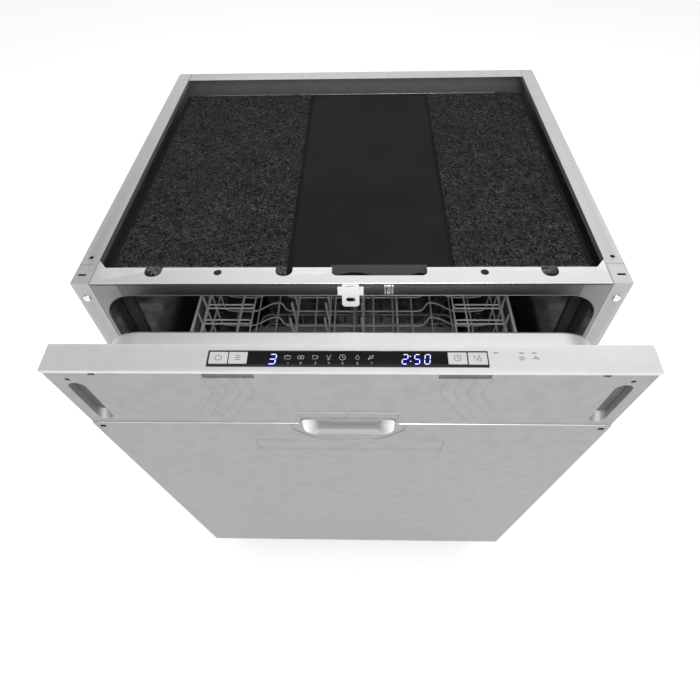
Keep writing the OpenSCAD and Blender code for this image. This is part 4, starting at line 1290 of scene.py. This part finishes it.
class MakeWaterWorks(bpy.types.Operator):
    """Dress the sump, pumps, filters, softener, pipe and spray arms"""

    bl_idname = "dishwasher.water_works"
    bl_label = "Sump, pumps and sprays"

    def execute(self, context):
        for node, width in (
                ("sump", 0.8), ("circulation_pump", 1.5), ("drain_pump", 1.2), ("filter_plate", 0.4),
                ("filter_cylinder", 0.8), ("water_softener", 1.5), ("salt_cap", 1.0), ("feed_pipe", 0.8),
                ("upper_spray_arm", 2.2), ("lower_spray_arm", 2.6)):
            softened(node, width)
        low, high = cad_span("circulation_pump")
        ribs = bmesh.new()
        for y in steps(low.y + 12, low.y + 96, 7):
            centre = (low.x + 36, y, (low.z + high.z) / 2)
            add_turned(ribs, ((35, 0), (36.9, 0.3), (36.9, 1.7), (35, 2)), centre, (0, 1, 0), 48)
        shaped("pump_ribs", ribs, SLOTS["circulation_pump"], sharp=40)

        # Dark discs that paint the shade of holes, in staggered rows over the plate, clear of the cylinder
        # and of the spray arm's hub.
        low, high = cad_span("filter_plate")
        centre = (low + high) / 2
        pitch, row_pitch = 4.2, 3.64
        cylinder_x, cylinder_r, hub_r, plate_r = 66, 43, 21, 116
        places = []
        for i in range(-30, 31):
            for j in range(-34, 35):
                x, y = centre.x + i * pitch, centre.y + j * row_pitch
                x += pitch / 2 if j % 2 else 0
                from_hub = math.hypot(x, y - centre.y)
                clear = math.hypot(x - cylinder_x, y - centre.y) > cylinder_r
                if clear and hub_r < from_hub < plate_r:
                    places.append((x, y, high.z - 0.04))
        hole = bmesh.new()
        add_turned(hole, ((1.1, 0), (1.1, 0.12)), (0, 0, 0), (0, 0, 1), 8)
        repeated("filter_holes", hole, places, "seal_rubber")
        return {"FINISHED"}


class MakeRunners(bpy.types.Operator):
    """Dress the upper rack's channels and sliding rails and their end caps"""

    bl_idname = "dishwasher.runners"
    bl_label = "Rack runners"

    def execute(self, context):
        softened("rail_channels", 0.4)
        softened("sliding_rails", 0.5)
        low, high = cad_span("sliding_rails")
        caps = bmesh.new()
        for side in SIDES:
            x = on_side(side, high.x + 0.4, high.x - 9.4)
            outline = rounded_loop(x, (low.z - 0.5, high.z + 0.5), 2.2, 5)
            loft(caps, [in_xz(outline, y) for y in (low.y + 0.02, low.y + 5)])
        shaped("rail_end_caps", caps, "grey_plastic", body=BODY_OF["sliding_rails"], edge=0.5)
        return {"FINISHED"}


def basket_wires(x, y, z, wire, rim, humps):
    """Wires of a rack, bent up at the walls, with two loops round them. Humps lift the cross wires."""
    half, out = wire / 2, rim / 2
    floor, top = z[0] + half, z[1] - out
    paths = []
    for station in steps(*inset(y, 30), 34):
        points = [(x[0] + out, top), (x[0] + out + 1.5, floor + wire), (x[0] + 24, floor)]
        for hump in humps:
            outward = math.copysign(1, hump)
            shape = ((-17, 0), (-9, 24), (8, 20), (38, 0))
            points += sorted((hump + outward * along, floor + up) for along, up in shape)
        points += [(x[1] - 24, floor), (x[1] - out - 1.5, floor + wire), (x[1] - out, top)]
        paths.append(bent(in_xz(points, station), 11))
    for station in steps(*inset(x, 32), 34):
        points = [
            (y[0] + out, top), (y[0] + out + 2, floor + wire), (y[0] + 22, floor + wire),
            (y[1] - 22, floor + wire), (y[1] - out - 2, floor + wire), (y[1] - out, top),
        ]
        paths.append(bent(in_yz(points, station), 11))
    for height in (0.36, 0.7):
        loop = rounded_loop(inset(x, half + 0.8), inset(y, half + 0.8), 22)
        paths.append((in_xy(loop, z[0] + (z[1] - z[0]) * height), True))
    return paths


def tine_row(x, y, z, count):
    """A row of leaning hairpin tines standing on its own floor wire."""
    lean = 4
    paths = [[(x, y[0], z[0]), (x, y[1], z[0])]]
    for station in steps(y[0] + 6, y[1] - 12, (y[1] - y[0] - 18) / (count - 1)):
        legs = [
            (x, station, z[0]), (x - lean, station + 0.6, z[1]),
            (x - lean, station + 5.4, z[1]), (x, station + 6, z[0]),
        ]
        paths.append(bent(legs, 2.9))
    return paths


WHEEL_PROFILE = (
    (2.4, 0), (2.95, 0.6), (2.95, 6.3), (5.6, 6.35), (5.8, 8.4), (10.6, 8.6), (11.6, 6.6), (13.4, 6.4),
    (14, 7.0), (14, 14.2), (13.4, 14.9), (11.8, 14.9), (10.9, 13.0), (6.4, 12.8), (5.9, 14.9), (3, 15),
    (2.2, 14.2),
)
ROLLER_PROFILE = (
    (2.5, 0), (2.5, 11), (8.0, 11.3), (8.6, 11.9), (8.6, 16.8), (8.0, 17.6), (3, 17.6), (2.4, 17),
)


class MakeRacks(bpy.types.Operator):
    """Bend the wires of both racks and of the cup shelves, and turn the wheels and rollers"""

    bl_idname = "dishwasher.racks"
    bl_label = "Racks, shelves and wheels"

    def execute(self, context):
        chosen = context.scene.dishwasher_finish
        wire, rim = chosen.wire / MM, chosen.rim_wire / MM
        upper = ((-240, 240), (0, 412), (512, 630))
        lower = ((-230, 230), (20, 438), (176, 296))
        for node, (x, y, z), rows, count, humps, start, tall in (
                ("upper_rack", upper, (-101.2, -43.2, 17.8, 76.8), 11, (-140, 140), 24, 58),
                ("lower_rack", lower, (-180, -140, -100, 130, 170, 210), 9, (), 140, 78)):
            paths = basket_wires(x, y, z, wire, rim, humps)
            for row in rows:
                paths += tine_row(row, (start, y[1] - 22), (z[0] + 6, z[0] + tall), count)
            round_bars(node + "_wires", paths, wire, "wire_coat", body=node, sides=8, replaced=(node,))
            rim_path = in_xy(rounded_loop(inset(x, rim / 2), inset(y, rim / 2), 22, 10), z[1] - rim / 2)
            round_bars(node + "_rim", [(rim_path, True)], rim, "wire_coat", body=node)
        self.rack_fittings()
        for side, node in ((-1, "cup_shelf_left"), (1, "cup_shelf_right")):
            self.cup_shelf(side, node, wire * 0.9)
        for node in ("wheel_front_left", "wheel_front_right", "wheel_rear_left", "wheel_rear_right"):
            self.wheel(node)
        softened("cutlery_basket", 1.0)
        return {"FINISHED"}

    def rack_fittings(self):
        """The upper rack's rollers, their plates and the pipe to its spray arm."""
        rack_side, axle_z = 240, 572
        plates, rollers = bmesh.new(), bmesh.new()
        for side in SIDES:
            for y in (245, 374):
                outline = rounded_loop((y - 18, y + 18), (axle_z - 12, axle_z + 12), 5, 5)
                loft(plates, [in_yz(outline, x) for x in on_side(side, rack_side - 3.6, rack_side)])
                add_turned(rollers, ROLLER_PROFILE, (side * rack_side, y, axle_z), (side, 0, 0), 32)
        shaped("roller_plates", plates, "grey_plastic", body="upper_rack", edge=0.8)
        shaped("upper_rack_rollers", rollers, "white_plastic", body="upper_rack", sharp=40)
        pipe = bmesh.new()
        hub_y, pipe_z = 206, 504
        run = ((5.6, 0), (6.5, 1), (6.5, 205), (5.4, 206))
        hub = ((9, 0), (10, 0.8), (10, 5), (5.9, 5.4), (5.9, 22))
        add_turned(pipe, run, (0, hub_y, pipe_z), (0, 1, 0), 32)
        add_turned(pipe, hub, (0, hub_y, pipe_z - 23), (0, 0, 1), 32)
        for y in (hub_y, hub_y + 176):
            add_turned(pipe, ((5, 0), (5, 7.6)), (0, y, pipe_z), (0, 0, 1), 24)
        shaped("upper_feed_pipe", pipe, "grey_plastic", body="upper_rack", sharp=40)

    def cup_shelf(self, side, node, wire):
        """A fold-up shelf: its pivot wire, frame, bar and hairpin cross wires."""
        pivot, inner, level = 234.3, 160.0, 598
        paths = [[(pivot, 16, level), (pivot, 396, level)]]
        paths.append((in_xy(rounded_loop((inner, pivot), (22, 390), 14, 6), level), True))
        paths.append([(inner + 19, 24, level), (inner + 19, 388, level)])
        for y in steps(40, 372, 33):
            hairpin = ((pivot, y - 4), (inner + 1.2, y - 4), (inner + 1.2, y + 4), (pivot, y + 4))
            paths.append(bent(in_xy(hairpin, level), 3.8))
        if side < 0:
            paths = [(mirrored(p[0]), True) if isinstance(p, tuple) else mirrored(p) for p in paths]
        round_bars(node + "_wires", paths, wire, "wire_coat", body=BODY_OF[node], sides=8, replaced=(node,))

    def wheel(self, node):
        """A turned wheel with five spokes on its outer face."""
        low, high = cad_span(node)
        side = 1 if high.x > 0 else -1
        start = low.x if side > 0 else high.x
        centre = (start, (low.y + high.y) / 2, (low.z + high.z) / 2)
        bm = bmesh.new()
        add_turned(bm, WHEEL_PROFILE, centre, (side, 0, 0), 40)
        span = sorted((start + side * 12.0, start + side * 14.2))
        for i in range(5):
            turn = Matrix.Rotation(2 * math.pi * i / 5, 4, "X")
            for vert in add_box(bm, span, (5.0, 11.6), (-0.8, 0.8)):
                turned = turn @ Vector((0, vert.co.y, vert.co.z))
                vert.co = (vert.co.x, centre[1] + turned.y, centre[2] + turned.z)
        shaped(node + "_moulded", bm, "white_plastic", body=BODY_OF[node], replaced=(node,), sharp=35)


# The door sheet's openings, as X and Z spans or points on the right side, and the top of its grip cup.
VENT = ((90, 141), (697, 705))
POCKET = ((267, 285), (603, 686))
ROUND_HOLE = (279, 693)
ROUND_HOLE_R = 2.5
SQUARE_HOLES = ((246.5, 702), (286, 582))
SQUARE_X, SQUARE_Z = 7, 6
CUP_TOP = 604


def cup_rings(front, set_back):
    """Rings of the grip cup from its mouth inwards: Y, half width, lowest Z and lower corner radius."""
    return (
        (front - 1, 53, 563.6, 17), (front + 0.2, 53, 563.6, 17), (front + 1.4, 51.6, 564.8, 16),
        (set_back + 3.5, 48.5, 567, 14), (set_back + 6.8, 43, 570, 12), (set_back + 7.5, 39, 573, 11),
    )


class MakeDoorSheet(bpy.types.Operator):
    """Press the door's front sheet: stepped upper band, grip, raised lines and side pockets"""

    bl_idname = "dishwasher.door_sheet"
    bl_label = "Door front sheet"

    def execute(self, context):
        low, high = cad_span("door_sheet", DOOR)
        front, set_back, step = low.y, low.y + 1.5, 594
        self.skin(low, high, set_back, step)
        self.linings(set_back)
        # A bright bar along the step paints the highlight of its upward ledge.
        fold = [(-291, front + 0.8, step + 0.1), (-58, front + 0.8, step + 0.1)]
        round_bars("door_fold_line", [fold, mirrored(fold)], 1.3, "zinc", DOOR)
        self.grip_lining(cup_rings(front, set_back)[1:])
        self.pressed_lines()
        return {"FINISHED"}

    def skin(self, low, high, set_back, step):
        """The sheet with its flanges, pockets and cup joined on one by one, then its holes taken out."""
        front, edge, bottom, back = low.y, high.x, low.z, high.y
        top = cad_span("section_plate", DOOR)[1].z
        side_top = 707.7
        outline = [
            (back, bottom), (front, bottom), (front, step - 0.9), (front + 0.3, step - 0.25),
            (set_back - 0.3, step + 0.25), (set_back, step + 0.9), (set_back, top), (set_back + 1, top),
            (set_back + 1, step - 0.6), (front + 1, step - 1.6), (front + 1, bottom + 1), (back, bottom + 1),
        ]
        flange = [
            (front + 0.4, bottom), (front + 0.4, step - 1.2), (set_back + 0.4, step - 1.2),
            (set_back + 0.4, side_top), (back, side_top), (back, bottom),
        ]
        sheet = bmesh.new()
        loft(sheet, [in_yz(outline, x) for x in (-edge, edge)])
        mesh = mesh_from("door_skin_mesh", sheet, DOOR)
        joined = []
        for side in SIDES:
            joined.append([in_yz(flange, x) for x in on_side(side, edge, edge - 1)])
            pocket = rounded_loop(on_side(side, *inset(POCKET[0], -2)), inset(POCKET[1], -2), 10)
            joined.append([in_xz(pocket, y) for y in (set_back + 0.2, set_back + 15.3)])
        cup = rounded_loop((-55, 55), (562, CUP_TOP + 2), 9)
        joined.append([in_xz(cup, y) for y in (front + 0.4, set_back + 9)])
        for rings in joined:
            added = bmesh.new()
            loft(added, rings)
            mesh = less(mesh, added, DOOR, "UNION")

        taken = bmesh.new()
        through = (front - 1, set_back + 3)
        for side in SIDES:
            x, (low_z, high_z) = on_side(side, *POCKET[0]), POCKET[1]
            mouth = ((front - 1, low_z), (set_back, low_z), (set_back + 13.3, low_z + 9))
            loft(taken, [in_xz(rounded_loop(x, (z, high_z), 8.9), y) for y, z in mouth])
            bore = ((ROUND_HOLE_R, 0), (ROUND_HOLE_R, 6))
            add_turned(taken, bore, (side * ROUND_HOLE[0], front - 1, ROUND_HOLE[1]), (0, 1, 0), 32)
            add_box(taken, on_side(side, *VENT[0]), through, VENT[1])
            for x, z in SQUARE_HOLES:
                add_box(taken, on_side(side, x, x + SQUARE_X), through, (z, z + SQUARE_Z))
            add_box(taken, on_side(side, edge - 1.3, edge + 2), (front - 1, back + 1), (side_top, top + 2))
            add_box(taken, on_side(side, 227, 239), (front + 2, back + 1), (bottom - 1, bottom + 2))
        rings = cup_rings(front, set_back)
        loft(taken, [in_xz(rounded_loop((-x, x), (z, CUP_TOP), 2.5, 8, r), y) for y, x, z, r in rings])
        mesh = less(mesh, taken, DOOR)
        nodes = ("door_sheet", "section_plate", "grip_cup", "side_pockets")
        round_edges(finished("door_skin", mesh, "door_steel", "door", *nodes), 0.5, 35)

    def linings(self, set_back):
        """Pads of the side pockets, black plates of painted shade on the pockets' floors and walls and behind
        the square holes, and vent screens.
        """
        pads, shade_plates, screens = bmesh.new(), bmesh.new(), bmesh.new()
        for side in SIDES:
            pad, pocket = on_side(side, 273.5, 284.7), on_side(side, 267.3, 284.7)
            ends = ((set_back + 8, 613), (set_back + 13.3, 614))
            loft(pads, [in_xz(rounded_loop(pad, (z, 685.3), 5.4), y) for y, z in ends])
            # Black plates paint the shade on the pockets' floors, along their outer walls and behind the
            # square holes.
            ground = rounded_loop(pocket, (612.5, 685.7), 8.4)
            loft(shade_plates, [in_xz(ground, y) for y in (set_back + 12.6, set_back + 13.4)])
            add_box(shade_plates, on_side(side, 284.4, 284.95), (set_back + 8.2, set_back + 13), (622, 677))
            for x, z in SQUARE_HOLES:
                ground_x, ground_z = (x - 2, x + SQUARE_X + 2), (z - 10, z + SQUARE_Z + 2)
                add_box(shade_plates, on_side(side, *ground_x), (set_back + 2.2, set_back + 2.8), ground_z)
            screen = on_side(side, *inset(VENT[0], -1.5))
            add_box(screens, screen, (set_back + 1.25, set_back + 1.75), (VENT[1][0] - 3, VENT[1][1] + 1.4))
            for i in range(9):
                place = (side * (92.5 + 5.9 * i), set_back + 1.3, 696.5)
                add_turned(screens, ((2.6, 0), (2.2, 0.5)), place, (0, -1, 0), 16)
        shaped("pocket_pads", pads, "vent_grey", DOOR, sharp=40, edge=0.5, angle=50)
        shaped("pocket_floors", shade_plates, "seal_rubber", DOOR, sharp=40)
        shaped("vent_screens", screens, "vent_grey", DOOR, sharp=40)

    def grip_lining(self, rings):
        """A thin lining of the grip cup, with a painted highlight towards its ends, without the flat side
        under the sheet's fold.
        """
        # Of a ring's 36 points, these run from its upper left corner by the bottom to its upper right one.
        picked = [*range(17, 36), 0]
        lining = bmesh.new()
        rows = []
        for y, x, z, r in rings:
            loop = rounded_loop(inset((-x, x), 0.15), (z + 0.15, CUP_TOP - 0.2), 2.5, 8, r - 0.1)
            rows.append([lining.verts.new((loop[i][0], y - 0.1, loop[i][1])) for i in picked])
        for a, b in zip(rows, rows[1:]):
            for i in range(len(picked) - 1):
                lining.faces.new((a[i], a[i + 1], b[i + 1], b[i]))
        bmesh.ops.recalc_face_normals(lining, faces=lining.faces)
        bmesh.ops.solidify(lining, geom=lining.faces[:], thickness=0.1)
        shaped("grip_cup_lining", lining, "cup_steel", DOOR, sharp=60)

    def pressed_lines(self):
        """Raised lines of the upper band, round the grip and round the label's field."""
        low, high = cad_span("control_fascia", DOOR)
        top, upper, lower = high.z, low.y + 1.5, low.y
        lines = []
        for i in range(4):
            knees = ((100 + 14.4 * i, 17), (93.5 + 14.5 * i, 43 + 1.5 * i), (133 + 11.8 * i, 113 - 4.2 * i))
            right = [(x, upper + 0.6, top - down) for x, down in knees]
            lines += [bent(right, 9, 5), bent(mirrored(right), 9, 5)]
        lines.append([(-57, upper, top - 92), (58, upper, top - 92)])
        lines += [[(x, upper, top - 92), (x, upper, top - 107)] for x in (-55, -26, 0, 26, 57)]
        cup = ((-66, 122), (-66, 134), (-39, 162.5), (39, 162.5), (66, 134), (66, 122))
        lines.append(bent([(x, lower, top - down) for x, down in cup], 16, 6))
        round_bars("door_pressed_lines", lines, 2.3, "door_steel", DOOR)
        field = rounded_loop((-116, 116), (top - 195, top - 167), 5, 6)
        round_bars("door_label_field", [(in_xz(field, lower + 0.3), True)], 2.3, "door_steel", DOOR)


class MakeControls(bpy.types.Operator):
    """Dress the control edge: brushed steel, black window, four keys, symbols and lit digits"""

    bl_idname = "dishwasher.controls"
    bl_label = "Control edge"

    def execute(self, context):
        for node, width in (("control_fascia", 0.3), ("display_window", 0.25), ("display_board", 0.2)):
            softened(node, width)
        low, high = cad_span("display_window", DOOR)
        glass = high.z - 0.02
        border = bmesh.new()
        add_box(border, (low.x, high.x), (low.y - 1.8, low.y + 0.4), (high.z - 0.3, high.z + 0.05))
        shaped("window_border", border, "window_black", DOOR)
        for node, strokes in (
                ("power_key", POWER_ICON), ("programme_key", LIST_ICON),
                ("delay_key", CLOCK_ICON), ("half_load_key", HALF_ICON)):
            softened(node, 0.6)
            low, high = cad_span(node, DOOR)
            bm = bmesh.new()
            drawn(bm, strokes, (low.x + high.x) / 2, (low.y + high.y) / 2, 7.4, 0.7, high.z - 0.02)
            shaped(node + "_symbol", bm, "icon_grey", DOOR, BODY_OF[node])

        for name, share, lift, look in (
                ("lit_digits", 1, 0, "digit_blue"), ("digit_cores", 0.42, 0.06, "digit_core")):
            bm = bmesh.new()
            segment_digit(bm, "3", -75.0, -33.6, 6.4, 10.8, 1.35, glass + lift, share)
            for digit, x in (("2", 53.9), ("5", 65.6), ("0", 75.4)):
                segment_digit(bm, digit, x, -33.2, 5.0, 10.6, 1.25, glass + lift, share)
            for y in (-30.2, -24.6):
                ribbon(bm, [(61.7, y), (62.9, y)], 1.2 * share, glass + lift)
            shaped(name, bm, look, DOOR)

        bm = bmesh.new()
        symbols = (POT_ICON, PLATES_ICON, CUP_ICON, GLASS_ICON, CLOCK_ICON, DROP_ICON, LEAF_ICON)
        for i, (strokes, x) in enumerate(zip(symbols, (-56.4, -43.5, -29.6, -16.5, -3.2, 11.3, 24.3))):
            drawn(bm, strokes, x, -26.0, 6.6, 0.42, glass)
            segment_digit(bm, str(i + 1), x - 0.7, -33.8, 1.4, 2.4, 0.4, glass)
        shaped("programme_symbols", bm, "icon_pale", DOOR)

        steel = cad_span("control_fascia", DOOR)[1].z - 0.02
        bm = bmesh.new()
        for x in (144.5, 169.3, 181.3):
            ribbon(bm, [(x - 2.3, -20.5), (x + 2.3, -20.5)], 1.1, steel, 0.06)
        drawn(bm, SUN_ICON, 168.7, -26.6, 6.2, 0.5, steel)
        drawn(bm, TAP_ICON, 181.8, -26.6, 6.4, 0.6, steel)
        shaped("indicator_marks", bm, "icon_grey", DOOR)
        return {"FINISHED"}


class MakeInnerLiner(bpy.types.Operator):
    """Draw the bright inner door liner with its raised panel and deep pan, and the insulation behind it"""

    bl_idname = "dishwasher.inner_liner"
    bl_label = "Inner door liner"

    def execute(self, context):
        low, high = cad_span("inner_liner", DOOR)
        back, out = low.y, high.y
        panel = ((-270.5, 270.5), (34, 684), 45)
        pan = ((-246.5, 246.5), (60, 640), 24)
        rings = [rounded_rim((low.x, high.x), (low.z, high.z), 2, back, -0.05)]
        rings += [rounded_rim(*panel, y, grow) for grow, y in ((9, back), (0.8, back + 0.05))]
        rise = quarter((0.8, 0.05), (0, 1), 0) + quarter((0, out - back - 3.5), (-3.5, out - back), 1, 6)
        rings += [rounded_rim(*panel, back + depth, grow) for grow, depth in rise]
        fall = quarter((5, 0), (0, 5), 0) + quarter((0, 20.5), (-7, 27.5), 1)
        rings += [rounded_rim(*pan, out - depth, grow) for grow, depth in fall]
        bm = bmesh.new()
        loft(bm, rings, False)
        bmesh.ops.remove_doubles(bm, verts=bm.verts, dist=0.01)
        bmesh.ops.recalc_face_normals(bm, faces=bm.faces)
        bmesh.ops.solidify(bm, geom=bm.faces[:], thickness=0.8)
        mesh = mesh_from("inner_liner_shell", bm, DOOR, 30)
        claw_slot = bmesh.new()
        add_box(claw_slot, (-2, 8), (back - 3, back + 4), (692, 699))
        finished("inner_liner_drawn", less(mesh, claw_slot, DOOR), "liner_steel", "door", "inner_liner")
        softened("door_insulation", 4)
        return {"FINISHED"}


class MakeDoorFittings(bpy.types.Operator):
    """Dress the dispenser, its lid and cap, and the latch"""

    bl_idname = "dishwasher.door_fittings"
    bl_label = "Dispenser and latch"

    def execute(self, context):
        for node, width in (
                ("dispenser_body", 1.2), ("dispenser_lid", 0.9), ("rinse_aid_cap", 0.8), ("door_latch", 0.8)):
            softened(node, width)
        low, high = cad_span("dispenser_lid", DOOR)
        ribs = bmesh.new()
        for z in steps(high.z - 34, high.z - 10, 4):
            add_box(ribs, (low.x + 22, high.x - 22), (high.y - 3.2, high.y - 2.2), (z - 0.7, z + 0.7))
        shaped(
            "dispenser_lid_grip", ribs, SLOTS["dispenser_lid"], DOOR, BODY_OF["dispenser_lid"], edge=0.3)
        return {"FINISHED"}


OPERATORS = (
    MakeStudio, MakeSidePanels, MakeTopRails, MakeFelt, MakeStrike, MakeTub, MakeBase, MakeWaterWorks,
    MakeRunners, MakeRacks, MakeDoorSheet, MakeControls, MakeInnerLiner, MakeDoorFittings,
)
SETTINGS = {
    "dishwasher_finish": DishwasherFinish,
    "dishwasher_felt": FeltFinish,
    "dishwasher_studio": StudioSetup,
}


class DishwasherPanel(bpy.types.Panel):
    """Lists the steps and their sizes and colours."""

    bl_idname = "VIEW3D_PT_dishwasher"
    bl_label = "Dishwasher"
    bl_space_type = "VIEW_3D"
    bl_region_type = "UI"
    bl_category = "Dishwasher"

    def draw(self, context):
        layout = self.layout
        for holder, title in zip(SETTINGS, ("Finish", "Felt", "Studio")):
            settings = getattr(context.scene, holder)
            box = layout.box()
            box.label(text=title)
            for name in settings.bl_rna.properties.keys():
                if name not in ("rna_type", "name"):
                    box.prop(settings, name)
        for operator in OPERATORS:
            layout.operator(operator.bl_idname)


CLASSES = (*SETTINGS.values(), *OPERATORS, DishwasherPanel)


def register():
    for cls in CLASSES:
        bpy.utils.register_class(cls)
    for holder, group in SETTINGS.items():
        setattr(bpy.types.Scene, holder, PointerProperty(type=group))


def unregister():
    for holder in SETTINGS:
        delattr(bpy.types.Scene, holder)
    for cls in reversed(CLASSES):
        bpy.utils.unregister_class(cls)


def main():
    """Make every piece in order."""
    register()
    for operator in OPERATORS:
        group, name = operator.bl_idname.split(".")
        getattr(getattr(bpy.ops, group), name)()


if __name__ == "__main__":
    main()
